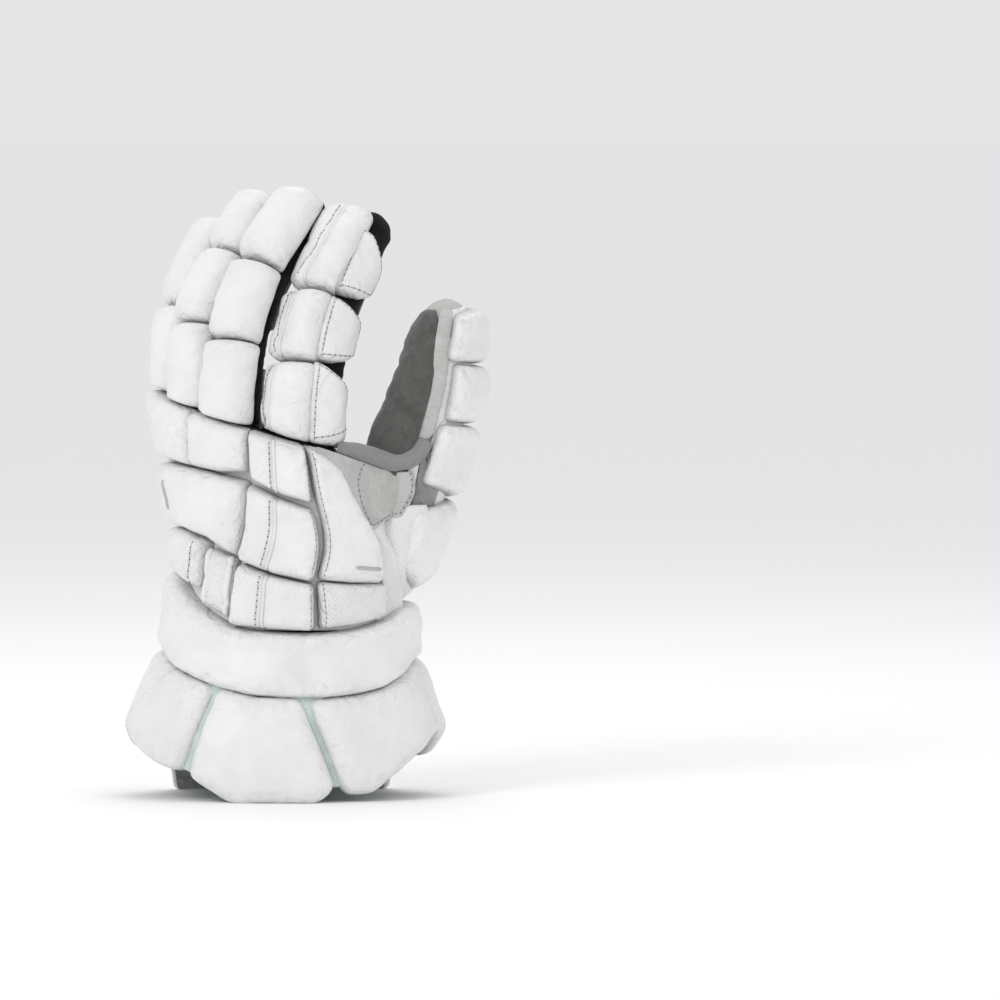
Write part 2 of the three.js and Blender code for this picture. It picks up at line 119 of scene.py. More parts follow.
def rows_at(table, s):
    """Columns of a table at s: a cubic through the rows, each row's slope being that of its neighbours."""
    table = np.asarray(table, float)
    x, y = table[:, 0], table[:, 1:]
    s = np.clip(np.asarray(s, float), x[0], x[-1])
    i = np.clip(np.searchsorted(x, s, side="right") - 1, 0, len(x) - 2)
    low, high = np.maximum(np.arange(len(x)) - 1, 0), np.minimum(np.arange(len(x)) + 1, len(x) - 1)
    slope = (y[high] - y[low]) / (x[high] - x[low])[:, None]
    span = x[i + 1] - x[i]
    t = ((s - x[i]) / span)[..., None]
    h = span[..., None]
    return ((2 * t**3 - 3 * t**2 + 1) * y[i] + (t**3 - 2 * t**2 + t) * h * slope[i]
            + (3 * t**2 - 2 * t**3) * y[i + 1] + (t**3 - t**2) * h * slope[i + 1])


def spread(*values):
    """The values as arrays of one shape."""
    return np.broadcast_arrays(*(np.asarray(value, float) for value in values))


def tube_skin(table):
    """Skin of an oval tube: x + u cos w + v sin w, y - u sin w + v cos w, s + fall u,
    where u = (a + rise) sin angle, v = -(b + rise) cos angle and w is the row's turn."""
    def skin(s, angle, rise):
        s, angle, rise = spread(s, angle, rise)
        x, y, a, b, turn, fall = np.moveaxis(rows_at(table, s), -1, 0)
        t, w = np.radians(angle), np.radians(turn)
        u, v = (a + rise) * np.sin(t), -(b + rise) * np.cos(t)
        return np.stack([x + u * np.cos(w) + v * np.sin(w), y - u * np.sin(w) + v * np.cos(w), s + fall * u], -1)
    return skin


def unit(vectors):
    """Vectors over their lengths."""
    return vectors / np.maximum(np.linalg.norm(vectors, axis=-1, keepdims=True), 1e-12)


def strides(line):
    """Length from each point of a line to the next."""
    return np.linalg.norm(np.diff(line, axis=0), axis=1)


def length_along(line):
    """Running length at each point of a line."""
    return np.concatenate([[0], np.cumsum(strides(line))])


def finger_skin(back, wide, deep, line):
    """Skin of a curled finger: centre line + side (w + rise) sin angle + outwards (d + rise) cos angle,
    with w and d shrinking a tenth along the finger and as a circle's edge over the tip."""
    line = np.asarray(line, float)
    marks = length_along(line)
    table = np.column_stack([marks, line])
    length = marks[-1]
    facing = np.array([math.cos(math.radians(back)), -math.sin(math.radians(back)), 0])

    def skin(s, angle, rise):
        s, angle, rise = spread(s, angle, rise)
        centre = rows_at(table, s)
        ahead = unit(rows_at(table, np.minimum(s + 0.5, length)) - rows_at(table, np.minimum(s, length - 0.5) - 0.5))
        side = unit(facing - ahead * (ahead @ facing)[..., None])
        outwards = np.cross(side, ahead)
        tip = np.clip((s - length + deep) / deep, 0, 1)
        size = (1 - 0.1 * s / length) * np.sqrt(np.maximum(0.02, 1 - tip**2))
        t = np.radians(angle)
        return (centre + side * ((wide * size + rise) * np.sin(t))[..., None]
                + outwards * ((deep * size + rise) * np.cos(t))[..., None])
    return skin, length


hand, lining, thumb = tube_skin(HAND), tube_skin(LINING), tube_skin(THUMB)
SKINS, LENGTHS = {}, {}
for finger, facts in FINGERS.items():
    SKINS[finger], LENGTHS[finger] = finger_skin(*facts)


def rim_height(points):
    """Height of the finger root line above a point: it falls across the knuckles."""
    row = HAND[-1]
    c, n = math.cos(math.radians(row[5])), math.sin(math.radians(row[5]))
    return RIM + RIM_SLOPE * ((points[..., 0] - row[1]) * c - (points[..., 1] - row[2]) * n)


def ripple(points, size, seed):
    """Soft random folds from -1 to 1: a sum of sine waves of random direction whose lengths are near size."""
    draw = np.random.default_rng(seed)
    total = np.zeros(points.shape[:-1])
    for _ in range(9):
        way = unit(draw.normal(size=3)) * 2 * np.pi / (size * draw.uniform(0.6, 1.7))
        bend = unit(draw.normal(size=3)) * 2 * np.pi / (size * 3.1)
        total += np.sin(points @ way + 1.3 * np.sin(points @ bend + draw.uniform(0, 6.28)) + draw.uniform(0, 6.28))
    return total / 4.5


def shoulder(distance, radius):
    """Height share at a distance from a rounded edge: (1 - (1 - d/r)^2.4)^(1/2.4) up to the radius, then 1."""
    x = np.clip(distance / np.maximum(radius, 1e-6), 0, 1)
    return np.maximum(0, 1 - (1 - x) ** 2.4) ** (1 / 2.4)


def round_edge(distance, radius):
    """Quarter circle: sqrt(1 - (1 - d/r)^2) up to the radius, then 1."""
    x = np.clip(distance / max(radius, 1e-6), 0, 1)
    return np.sqrt(np.maximum(0, 1 - (1 - x) ** 2))


def marks_between(length, radius, step):
    """Shares of a side from 0 to 1, close together over the rounded edges and about one step apart between."""
    radius = min(radius, 0.49 * length)
    turn = np.linspace(0, 1, 9)
    edge = radius * turn**2.2
    inner = np.linspace(radius, length - radius, max(3, int(round((length - 2 * radius) / step))))
    return np.concatenate([edge[:-1], inner, (length - edge[:-1])[::-1]]) / length


def from_edge(u, v, wide, tall):
    """Distance in mm from (u, v) to the nearest edge of a patch."""
    return np.minimum(np.minimum(u, 1 - u) * wide, np.minimum(v, 1 - v) * tall)


def between(grid, u, v, ease=False):
    """The grid's value at (u, v), straight between its points, or eased by t t (3 - 2 t)."""
    n, m = grid.shape[:2]
    u, v = np.broadcast_arrays(u, v)
    x, y = np.clip(u, 0, 1) * (n - 1), np.clip(v, 0, 1) * (m - 1)
    i, j = np.clip(x.astype(int), 0, n - 2), np.clip(y.astype(int), 0, m - 2)
    f, g = x - i, y - j
    if ease:
        f, g = f * f * (3 - 2 * f), g * g * (3 - 2 * g)
    if grid.ndim > 2:
        f, g = f[..., None], g[..., None]
    return ((grid[i, j] * (1 - f) + grid[i + 1, j] * f) * (1 - g)
            + (grid[i, j + 1] * (1 - f) + grid[i + 1, j + 1] * f) * g)


def quads(index):
    """Faces of a grid of point numbers."""
    return np.stack([index[:-1, :-1], index[1:, :-1], index[1:, 1:], index[:-1, 1:]], -1).reshape(-1, 4)


def ring_faces(rings, shut=True):
    """Faces of a row of rings, with a flat face on each end where it is shut."""
    index = np.arange(rings.shape[0] * rings.shape[1]).reshape(rings.shape[:2])
    turned = np.roll(index, -1, 1)
    faces = np.stack([index[:-1], turned[:-1], turned[1:], index[1:]], -1).reshape(-1, 4).tolist()
    return faces + [index[0][::-1].tolist(), index[-1].tolist()] * shut


def closeness(u, v, path, wide, tall):
    """Distance in mm from each point (u, v) of a pad to a path of (u, v) corners."""
    best = np.full(np.broadcast(u, v).shape, 1e9)
    at = np.stack(np.broadcast_arrays(u * wide, v * tall), -1)
    corners = np.asarray(path, float) * [wide, tall]
    for a, b in zip(corners[:-1], corners[1:]):
        way = b - a
        t = np.clip(((at - a) @ way) / max(way @ way, 1e-9), 0, 1)
        best = np.minimum(best, np.linalg.norm(at - a - t[..., None] * way, axis=-1))
    return best


def put(name, data):
    """A new object in the scene."""
    thing = bpy.data.objects.new(name, data)
    bpy.context.scene.collection.objects.link(thing)
    return thing


def rested(points, faces, pinned):
    """The points after CLOTH_FRAMES frames of Blender's cloth: pressure from below, no gravity, the pinned points
    held and the cloth cut a few per cent too large, so that it fills out and pulls into folds at the held edges."""
    scene = bpy.context.scene
    mesh = bpy.data.meshes.new("cloth_rest")
    mesh.from_pydata(points.tolist(), [], faces.tolist())
    cloth = put("cloth_rest", mesh)
    cloth.vertex_groups.new(name="held").add(np.flatnonzero(pinned).tolist(), 1.0, "REPLACE")
    modifier = cloth.modifiers.new("cloth", "CLOTH")
    settings = modifier.settings
    settings.quality = 6
    settings.mass = 0.25
    settings.vertex_group_mass = "held"
    settings.use_pressure, settings.uniform_pressure_force = True, CLOTH_PRESSURE
    settings.shrink_min = -CLOTH_SPARE
    settings.bending_stiffness = 0.08
    settings.effector_weights.gravity = 0.0
    modifier.collision_settings.use_collision = False
    modifier.point_cache.frame_start, modifier.point_cache.frame_end = 1, CLOTH_FRAMES
    for number in range(1, CLOTH_FRAMES + 1):
        scene.frame_set(number)
    done = cloth.evaluated_get(bpy.context.evaluated_depsgraph_get()).data
    after = np.zeros(len(points) * 3)
    done.vertices.foreach_get("co", after)
    bpy.data.objects.remove(cloth)
    bpy.data.meshes.remove(mesh)
    scene.frame_set(1)
    return after.reshape(-1, 3)


class Pad:
    """Sewn pad on a skin. Columns are [angle low, s low, angle high, s high, thickness] from edge to edge, or rows
    [s, angle at one side, angle at the other, thickness]; u runs across and v along. Height = thickness x rounded
    edge in u x rounded edge in v, less each seam's groove depth x exp(-(distance / width)^2), plus soft folds.
    In mm: seat is how far it lies off the skin, side and end are the radii of its edges, corner rounds it in plan,
    crown is the rise of its middle, foot its gap over the finger root line, grow how far it spreads past its table
    and tucks the depth of the creases at its corners."""

    seat, side, end, corner, crown, seams = 0.9, 0.8, 0.8, 5.0, 0.8, ()
    folds, tucks, seed, step, bend, flat, by_rows = 0.22, 0.0, 1, 1.5, False, False, False
    foot, grow, radius = None, 0.0, 50.0

    def __init__(self, skin, columns, **given):
        for key, value in given.items():
            setattr(self, key, value)
        self.skin = skin
        if not isinstance(self.corner, tuple):
            self.corner = (self.corner, self.corner)
        columns = np.array(columns, float)
        if self.by_rows:
            self.low, self.high = columns[0, 0], columns[-1, 0]
            self.table = np.column_stack([(columns[:, 0] - self.low) / (self.high - self.low), columns[:, 1:]])
        else:
            wider = math.degrees(self.grow / self.radius)
            columns[:, 1] -= self.grow
            columns[:, 3] += self.grow
            columns[0, [0, 2]] -= wider
            columns[-1, [0, 2]] += wider
            middle = (columns[:, 0] + columns[:, 2]) / 2
            self.table = np.column_stack([(middle - middle[0]) / (middle[-1] - middle[0]), columns])
        self.wide = self.tall = 30.0
        whole, half = np.linspace(0, 1, 40), np.full(40, 0.5)
        self.wide = self.length_of(whole, half)
        self.tall = self.length_of(half, whole)
        self.moved = None
        if not self.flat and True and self.thickness(np.array(0.5), np.array(0.5)) > CLOTH_THICK:
            self.moved = self.settle()

    def column(self, u):
        """[angle low, s low, angle high, s high, thickness] at u."""
        if self.bend:
            return np.moveaxis(rows_at(self.table, u), -1, 0)
        return [np.interp(u, self.table[:, 0], self.table[:, k]) for k in range(1, 6)]

    def thickness(self, u, v):
        """Thickness by the table, with no edges or seams."""
        if self.by_rows:
            return np.interp(v, self.table[:, 0], self.table[:, 3]) + 0 * u
        return self.column(u)[4] + 0 * v

    def place(self, u, v, rise):
        """The point that far off the skin. Corners are rounded in plan: the ends draw in near the sides."""
        near = np.minimum(u, 1 - u) * self.wide
        low, high = (r * (1 - round_edge(near, r)) / self.tall for r in self.corner)
        v = low + v * (1 - low - high)
        if self.by_rows:
            side = rows_at(self.table, v)
            angle = side[..., 0] + u * (side[..., 1] - side[..., 0])
            return self.skin(self.low + v * (self.high - self.low), angle, rise)
        a0, s0, a1, s1, _ = self.column(u)
        point = self.skin(s0 + v * (s1 - s0), a0 + v * (a1 - a0), rise)
        if self.foot is not None:
            share = np.clip(1 - v * 3, 0, 1) ** 2
            point[..., 2] = point[..., 2] * (1 - share) + (rim_height(point) + self.foot) * share
        return point

    def length_of(self, u, v):
        """Length of a line of (u, v), 4 mm over the seat."""
        return float(strides(self.place(u, v, self.seat + 4)).sum())

    def settle(self):
        """Rise in mm at a grid of (u, v), from resting the cover as cloth held along its edges and seams."""
        u, v = np.meshgrid(*(np.linspace(0, 1, max(7, int(length / CLOTH_STEP))) for length in (self.wide, self.tall)),
                           indexing="ij")
        before = self.top(u, v)
        out = unit(self.place(u, v, self.seat + PROBE) - self.place(u, v, self.seat))
        faces = quads(np.arange(u.size).reshape(u.shape))
        a, b = before[1:, 1:] - before[:-1, :-1], before[:-1, 1:] - before[1:, :-1]
        if (np.cross(a, b) * out[:-1, :-1]).sum() < 0:
            faces = faces[:, ::-1]
        held = from_edge(u, v, self.wide, self.tall) < 1.2
        for path, _, width in self.seams:
            held |= closeness(u, v, path, self.wide, self.tall) < max(1.3, width)
        after = rested(before.reshape(-1, 3) * CLOTH_SCALE, faces, held.ravel()).reshape(before.shape) / CLOTH_SCALE
        return np.clip(((after - before) * out).sum(-1), *CLOTH_MOVE)

    def height(self, u, v):
        """Height over the seat: body, crown, grooves with puckered sides, folds, tucks and what the cloth moved."""
        thick = self.thickness(u, v)
        if self.flat:
            edge = from_edge(u, v, self.wide, self.tall)
            return thick * (0.35 + 0.65 * shoulder(edge, 1.2)) + self.folds * shoulder(edge, 6) * ripple(
                self.place(u, v, self.seat), 15, self.seed)
        du, dv = np.minimum(u, 1 - u) * self.wide, np.minimum(v, 1 - v) * self.tall
        body = thick * shoulder(du, self.side) * shoulder(dv, self.end)
        rise = body + self.crown * shoulder(du, self.wide / 2) * shoulder(dv, self.tall / 2)
        for path, depth, width in self.seams:
            gap = closeness(u, v, path, self.wide, self.tall)
            rise = rise - np.minimum(depth, 0.8 * body) * np.exp(-(gap / width) ** 2)
            pucker = np.exp(-(gap / (width * 3.2)) ** 2) - np.exp(-(gap / (width * 0.9)) ** 2)
            wave = np.sin(u * self.wide * 1.15 + 0.9 * np.sin(v * self.tall * 0.31 + self.seed)) * np.sin(
                v * self.tall * 1.03 + 1.1 * np.sin(u * self.wide * 0.27))
            rise = rise + 0.08 * depth * pucker * wave
        if self.folds:
            at = self.place(u, v, self.seat + body)
            rise = rise + self.folds * np.clip(body / 5, 0, 1) * (ripple(at, 17, self.seed)
                                                                  + 0.5 * ripple(at, 7, self.seed + 50))
        if self.tucks:
            rise = rise - self.tucks * np.clip(body / 6, 0, 1) * self.creases(u, v)
        if self.moved is not None:
            rise = rise + between(self.moved, u, v, ease=True)
        return rise

    def creases(self, u, v):
        """Creases that fan out from the four corners: exp(-((r - 7) / 4)^2) max(0, sin(7 angle + turn))^3."""
        total = np.zeros(np.broadcast(u, v).shape)
        for k, (side, end) in enumerate(((0, 0), (0, 1), (1, 0), (1, 1))):
            x, y = np.abs(u - side) * self.wide, np.abs(v - end) * self.tall
            fan = np.maximum(0, np.sin(7 * np.arctan2(y, x) + 1.7 * k + self.seed)) ** 3
            total = np.maximum(total, np.exp(-((np.hypot(x, y) - 7) / 4) ** 2) * fan)
        return total

    def tone(self, u, v, height):
        """Share of the full height, pulled down in each seam: times 1 - k exp(-(distance / width)^2), where
        k is 0.4 of the groove's depth, at most 0.75. The leather paints shade from it, darker where it is low."""
        share = np.ones(u.shape) if self.flat else np.clip(height / np.maximum(self.thickness(u, v), 0.1), 0, 1)
        for path, depth, width in self.seams:
            gap = closeness(u, v, path, self.wide, self.tall)
            share = share * (1 - min(0.75, 0.4 * depth) * np.exp(-(gap / (0.9 * width)) ** 2))
        return share

    def top(self, u, v, lift=0.0):
        """The point on the cover, or lift above it."""
        u, v = spread(u, v)
        return self.place(u, v, self.seat + self.height(u, v) + lift)

    def grid(self):
        """(u, v) of the cover's points, closer together over its rounded edges."""
        return np.meshgrid(marks_between(self.wide, self.side, self.step),
                           marks_between(self.tall, self.end, self.step), indexing="ij")


def make(name, points, faces, finish, uv=None, lit_share=None, inside=None):
    """A mesh piece from points in pattern millimetres. The share for painted shade is 0 down in the seams and 1 on the
    faces, and the leather darkens where it is low; inside is 0 at a pad's edges and 1 from INSIDE mm off them."""
    mesh = bpy.data.meshes.new(name)
    mesh.from_pydata(metres(points).tolist(), [], [list(f) for f in faces])
    if uv is not None:
        layer = mesh.uv_layers.new(name="pattern")
        corner = np.zeros(len(mesh.loops), dtype=np.int32)
        mesh.loops.foreach_get("vertex_index", corner)
        layer.data.foreach_set("uv", (np.asarray(uv, float)[corner] * PATTERN_PER_MM).ravel())
    for kind, values in (("lit_share", lit_share), ("inside", inside)):
        layer = mesh.attributes.new(kind, "FLOAT", "POINT")
        layer.data.foreach_set("value", np.ones(len(points)) if values is None else np.asarray(values, float).ravel())
    mesh.polygons.foreach_set("use_smooth", np.full(len(mesh.polygons), True))
    mesh.materials.append(finish)
    piece = put(name, mesh)
    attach(piece, "root")
    return piece


def closed_sheet(top, under):
    """Points and faces of a body between two grids; where their edges meet they share points."""
    n, m = top.shape[:2]
    index = np.arange(n * m).reshape(n, m)
    faces = [quads(index), quads(index + n * m)[:, ::-1]]
    edge = np.concatenate([index[:, 0], index[-1, 1:], index[-2::-1, -1], index[0, -2:0:-1]])
    after = np.roll(edge, -1)
    faces.append(np.stack([edge, edge + n * m, after + n * m, after], -1))
    return np.concatenate([top.reshape(-1, 3), under.reshape(-1, 3)]), np.concatenate(faces)


def facing_out(points, faces):
    """Turns all faces over where the closed body's volume comes out negative."""
    tri = points[faces[:, :3]], points[faces[:, [0, 2, 3]]]
    volume = sum((t[:, 0] * np.cross(t[:, 1], t[:, 2])).sum() for t in tri)
    return faces if volume > 0 else faces[:, ::-1]


def lay_flat(piece, width, length, area):
    """Turns a sheet's width and length from mm to metres and keeps its area from LEAST_AREA to 1 times their product;
    nothing is kept or given back.
    """
    width, length = width * MM, length * MM
    area = float(min(width * length, max(LEAST_AREA * width * length, area)))


def sew(name, pad, finish, solid=None):
    """Makes the pad a closed piece standing for its solid, and gives the pad back."""
    u, v = pad.grid()
    height = pad.height(u, v)
    top = pad.place(u, v, pad.seat + height)
    under = pad.place(u, v, np.full(u.shape, pad.seat - 0.3))
    # share for the painted shade: the top by its height, the underside 0, in full shade
    lit_share = np.concatenate([pad.tone(u, v, height).ravel(), np.zeros(u.size)])
    edge = from_edge(u, v, pad.wide, pad.tall)
    inside = np.concatenate([np.clip(edge / INSIDE, 0, 1).ravel(), np.zeros(u.size)])
    points, faces = closed_sheet(top, under)
    map_uv = np.tile(np.stack([u * pad.wide, v * pad.tall], -1).reshape(-1, 2), (2, 1))
    piece = make(name, points, facing_out(points, faces), finish, map_uv, lit_share, inside)
    if solid:
        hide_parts(solid)
    if pad.flat:
        lay_flat(piece, max(pad.wide, SMALLEST_FLAT), max(pad.tall, SMALLEST_FLAT), surface_area(top))
    return pad


def surface_area(grid):
    """Area in square metres of a grid of points in mm: the sum of half the cross product of each cell's diagonals."""
    a, b = grid[1:, 1:] - grid[:-1, :-1], grid[1:, :-1] - grid[:-1, 1:]
    return float(np.linalg.norm(np.cross(a, b), axis=-1).sum() / 2 * 1e-6)


# Trims on a pad: stitches, dark dots of painted shade at the needle holes, and piping

THREADS = {}
GREY = {"group": "stitches_grey", "size": (1.1, 0.4, 0.3)}


def on_path(pad, path, pitch, lift):
    """Even spots along a path of (u, v) corners on a pad: place, direction and outward normal of each."""
    corners = np.asarray(path, float)
    t = np.linspace(0, len(corners) - 1, LINK * (len(corners) - 1) + 1)
    u, v = (np.interp(t, np.arange(len(corners)), corners[:, k]) for k in (0, 1))
    line = pad.top(u, v, lift)
    run = length_along(line)
    count = max(2, int(round(run[-1] / pitch)))
    at = np.linspace(0, run[-1], count + 1)
    us, vs = np.interp(at, run, u), np.interp(at, run, v)
    spots = pad.top(us, vs, lift)
    step = 0.004
    across = pad.top(np.clip(us + step, 0, 1), vs) - pad.top(np.clip(us - step, 0, 1), vs)
    along = pad.top(us, np.clip(vs + step, 0, 1)) - pad.top(us, np.clip(vs - step, 0, 1))
    normal = unit(np.cross(across, along))
    out = pad.place(us, vs, pad.seat + PROBE) - pad.place(us, vs, pad.seat)
    normal = normal * np.where((normal * out).sum(-1) < 0, -1, 1)[:, None]
    return spots, unit(np.gradient(spots, axis=0)), normal


def beads(spots, ahead, normal, size):
    """A small closed bead at each spot: an ellipsoid of half sizes (ahead, across, out), six sides and five rings."""
    side = np.cross(normal, ahead)
    ring = np.linspace(0, 2 * np.pi, 7)[:-1]
    local = [[1, 0, 0]]
    for a in (0.75, 1.57, 2.4):
        local += [[math.cos(a), math.sin(a) * math.cos(b), math.sin(a) * math.sin(b)] for b in ring]
    local = np.array(local + [[-1, 0, 0]]) * size
    points = (spots[:, None] + local[None, :, :1] * ahead[:, None] + local[None, :, 1:2] * side[:, None]
              + local[None, :, 2:] * normal[:, None])
    pairs = [(k, (k + 1) % 6) for k in range(6)]
    faces = [[0, 1 + k, 1 + j] for k, j in pairs]
    for base in (1, 7):
        faces += [[base + k, base + 6 + k, base + 6 + j, base + j] for k, j in pairs]
    faces += [[13 + k, 19, 13 + j] for k, j in pairs]
    return points.reshape(-1, 3), [[i + 20 * b for i in f] for b in range(len(spots)) for f in faces]


def keep(group, points, faces):
    """Adds points and faces to a group that becomes one piece at the end."""
    lists = THREADS.setdefault(group, [0, [], []])
    lists[2] += [[i + lists[0] for i in f] for f in faces]
    lists[1].append(points)
    lists[0] += len(points)


def stitch(pad, path, group="stitches_white", pitch=3.3, size=(1.15, 0.42, 0.34), holes=True):
    """A row of stitches with a dark dot of painted shade for the needle hole between each two."""
    spots, ahead, normal = on_path(pad, path, pitch, 0.12)
    keep(group, *beads(spots[:-1] + (spots[1:] - spots[:-1]) / 2, ahead[:-1], normal[:-1], size))
    if holes:
        # dark beads that paint the shade in each needle hole
        keep("needle_holes", *beads(spots + normal * 0.02, ahead, normal, (0.5, 0.46, 0.2)))


def upright(u, inset):
    """A straight path along a pad at u, from inset to 1 - inset."""
    return [(u, inset), (u, 1 - inset)]


def piping(pad, path, group, radius, lift):
    """A thin covered cord along a path on a pad: centre + r (normal cos a + side sin a), ends tapered shut."""
    line, ahead, normal = on_path(pad, path, 1.6, lift)
    side = unit(np.cross(ahead, normal))
    out = np.cross(side, ahead)
    a = np.linspace(0, 2 * np.pi, 9)[:-1]
    share = np.ones(len(line))
    share[[0, -1]] = 0.35
    rings = line[:, None] + (radius * share)[:, None, None] * (
        out[:, None] * np.cos(a)[None, :, None] + side[:, None] * np.sin(a)[None, :, None])
    keep(group, rings.reshape(-1, 3), ring_faces(rings))


# Materials

def node(tree, kind, inputs=None, **settings):
    """A shader node with its settings, and with numbers or links on its inputs."""
    made = tree.nodes.new("ShaderNode" + kind)
    for key, value in settings.items():
        setattr(made, key, value)
    for key, value in (inputs or {}).items():
        if isinstance(value, bpy.types.NodeSocket):
            tree.links.new(value, made.inputs[key])
        else:
            made.inputs[key].default_value = value
    return made


def maths(tree, operation, *values):
    """Result of a Math node."""
    return node(tree, "Math", dict(enumerate(values)), operation=operation).outputs[0]


def ranged(tree, value, low, high, first, last):
    """The value mapped from low..high to first..last."""
    return node(tree, "MapRange", {"Value": value, "From Min": low, "From Max": high, "To Min": first,
                                   "To Max": last}).outputs[0]


def noise(tree, scale, detail, **more):
    """Noise in the object's own coordinates."""
    place = node(tree, "TexCoord").outputs["Object"]
    return node(tree, "TexNoise", {"Vector": place, "Scale": scale, "Detail": detail, **more}).outputs["Fac"]


def bumped(tree, height, strength, distance, **under):
    """Normal from a Bump node, on top of another where Normal is given."""
    inputs = {"Height": height, "Strength": strength, "Distance": distance, **under}
    return node(tree, "Bump", inputs).outputs["Normal"]


def marked(tree, name):
    """A mesh attribute of the piece."""
    return node(tree, "Attribute", attribute_name=name, attribute_type="GEOMETRY").outputs["Fac"]


def multiplied(tree, first, second):
    """One colour times another."""
    return node(tree, "Mix", {0: 1.0, 6: first, 7: second}, data_type="RGBA", blend_type="MULTIPLY").outputs[2]


def finished(finish, tree, shader, colour, normal):
    """The material with its colour and normal on the shader."""
    tree.links.new(colour, shader.inputs["Base Color"])
    tree.links.new(normal, shader.inputs["Normal"])
    return finish


def plain(name, colour, roughness, **sockets):
    """A material of one colour."""
    finish, _, shader = blank(name, roughness, **sockets)
    shader.inputs["Base Color"].default_value = (*colour, 1)
    return finish


def blank(name, roughness, **sockets):
    """A new material with the constants on its shader."""
    finish = bpy.data.materials.new(name)
    finish.use_nodes = True
    tree = finish.node_tree
    shader = tree.nodes["Principled BSDF"]
    shader.inputs["Roughness"].default_value = roughness
    for key, value in sockets.items():
        shader.inputs[key.replace("_", " ")].default_value = value
    return finish, tree, shader


def colours(tree, factor, stops):
    """A colour ramp from (place, colour) stops."""
    ramp = node(tree, "ValToRGB", {"Fac": factor})
    while len(ramp.color_ramp.elements) < len(stops):
        ramp.color_ramp.elements.new(0.5)
    for element, (place, colour) in zip(ramp.color_ramp.elements, stops):
        element.position = place
        element.color = (*colour, 1)
    return ramp.outputs["Color"]


def weave(tree, per_unit):
    """Regular bumps of the piece's own pattern map: sin(k x) times sin(k y), from -1 to 1."""
    spot = node(tree, "UVMap", uv_map="pattern").outputs["UV"]
    parts = node(tree, "SeparateXYZ", {"Vector": spot}).outputs
    waves = [maths(tree, "SINE", maths(tree, "MULTIPLY", parts[axis], k * 2 * math.pi))
             for axis, k in zip("XY", per_unit)]
    return maths(tree, "MULTIPLY", *waves)


def leather(name, light, dark, grain=780, relief=0.00022, roughness=0.46, pores=None):
    """White leather: pebbled grain from cells, tonal clouds, painted shade on the low edges and in the seams, gathers
    near the edges, and pores where asked."""
    finish, tree, shader = blank(name, roughness, Specular_IOR_Level=0.42, Coat_Weight=0.06, Coat_Roughness=0.35)
    clouds = noise(tree, 34.0, 4.0, Roughness=0.6)
    body = colours(tree, clouds, [(0.3, dark), (0.62, light)])
    # painted shade: the colour is multiplied down where the height share is low, in seams, round pad edges and
    # underneath
    seam = colours(tree, marked(tree, "lit_share"), [(0.0, tuple(c * 0.66 for c in dark)),
                                                  (0.42, tuple(c * 0.93 for c in light)), (0.75, (1, 1, 1))])
    cells = node(tree, "TexVoronoi", {"Vector": node(tree, "TexCoord").outputs["Object"], "Scale": float(grain),
                                      "Randomness": 1.0}, feature="SMOOTH_F1").outputs["Distance"]
    height = maths(tree, "MULTIPLY_ADD", cells, 0.75, noise(tree, grain * 2.6, 3.0))
    if pores:
        height = maths(tree, "ADD", height, ranged(tree, weave(tree, pores), 0.55, 0.9, 0.0, -2.4))
    grained = bumped(tree, height, 0.55, relief)
    creased = bumped(tree, noise(tree, 160.0, 2.0, Distortion=0.6), 0.28, 0.0008, Normal=grained)
    near_edge = ranged(tree, marked(tree, "inside"), 0.1, 1.0, 1.0, 0.12)
    ridges = maths(tree, "MULTIPLY", noise(tree, 95.0, 2.0, Distortion=1.8), near_edge)
    gathered = bumped(tree, ridges, 0.6, 0.0045, Normal=creased)
    tree.links.new(ranged(tree, clouds, 0.0, 1.0, roughness - 0.07, roughness + 0.1), shader.inputs["Roughness"])
    return finished(finish, tree, shader, multiplied(tree, body, seam), gathered)


def suede(name, light, dark):
    """Napped suede: two scales of noise for the brushed nap, sheen at glancing angles."""
    finish, tree, shader = blank(name, 0.95, Sheen_Weight=0.35, Sheen_Roughness=0.5, Specular_IOR_Level=0.15)
    brushed = noise(tree, 55.0, 6.0, Roughness=0.72, Distortion=0.8)
    nap = noise(tree, 1900.0, 4.0, Roughness=0.8)
    tone = colours(tree, maths(tree, "MULTIPLY", brushed, nap), [(0.12, dark), (0.42, light)])
    return finished(finish, tree, shader, tone, bumped(tree, nap, 0.5, 0.0004))


def textile(name, thread, gap, per_unit, roughness=0.85, sheen=0.12, open_mesh=False):
    """Knit, mesh or webbing: crossed waves of the pattern map, holes dark where the mesh is open."""
    finish, tree, shader = blank(name, roughness, Sheen_Weight=sheen, Specular_IOR_Level=0.2)
    low, high = (0.35, 0.8) if open_mesh else (-0.7, 0.6)
    mask = ranged(tree, weave(tree, per_unit), low, high, 1.0, 0.0)
    tone = colours(tree, mask, [(0.0, gap), (1.0, thread)])
    shade = colours(tree, noise(tree, 70.0, 3.0), [(0.3, (0.72, 0.72, 0.72)), (0.7, (1, 1, 1))])
    height = maths(tree, "MULTIPLY_ADD", noise(tree, 1500.0, 3.0), 0.25, mask)
    return finished(finish, tree, shader, multiplied(tree, tone, shade), bumped(tree, height, 0.8, 0.0004))


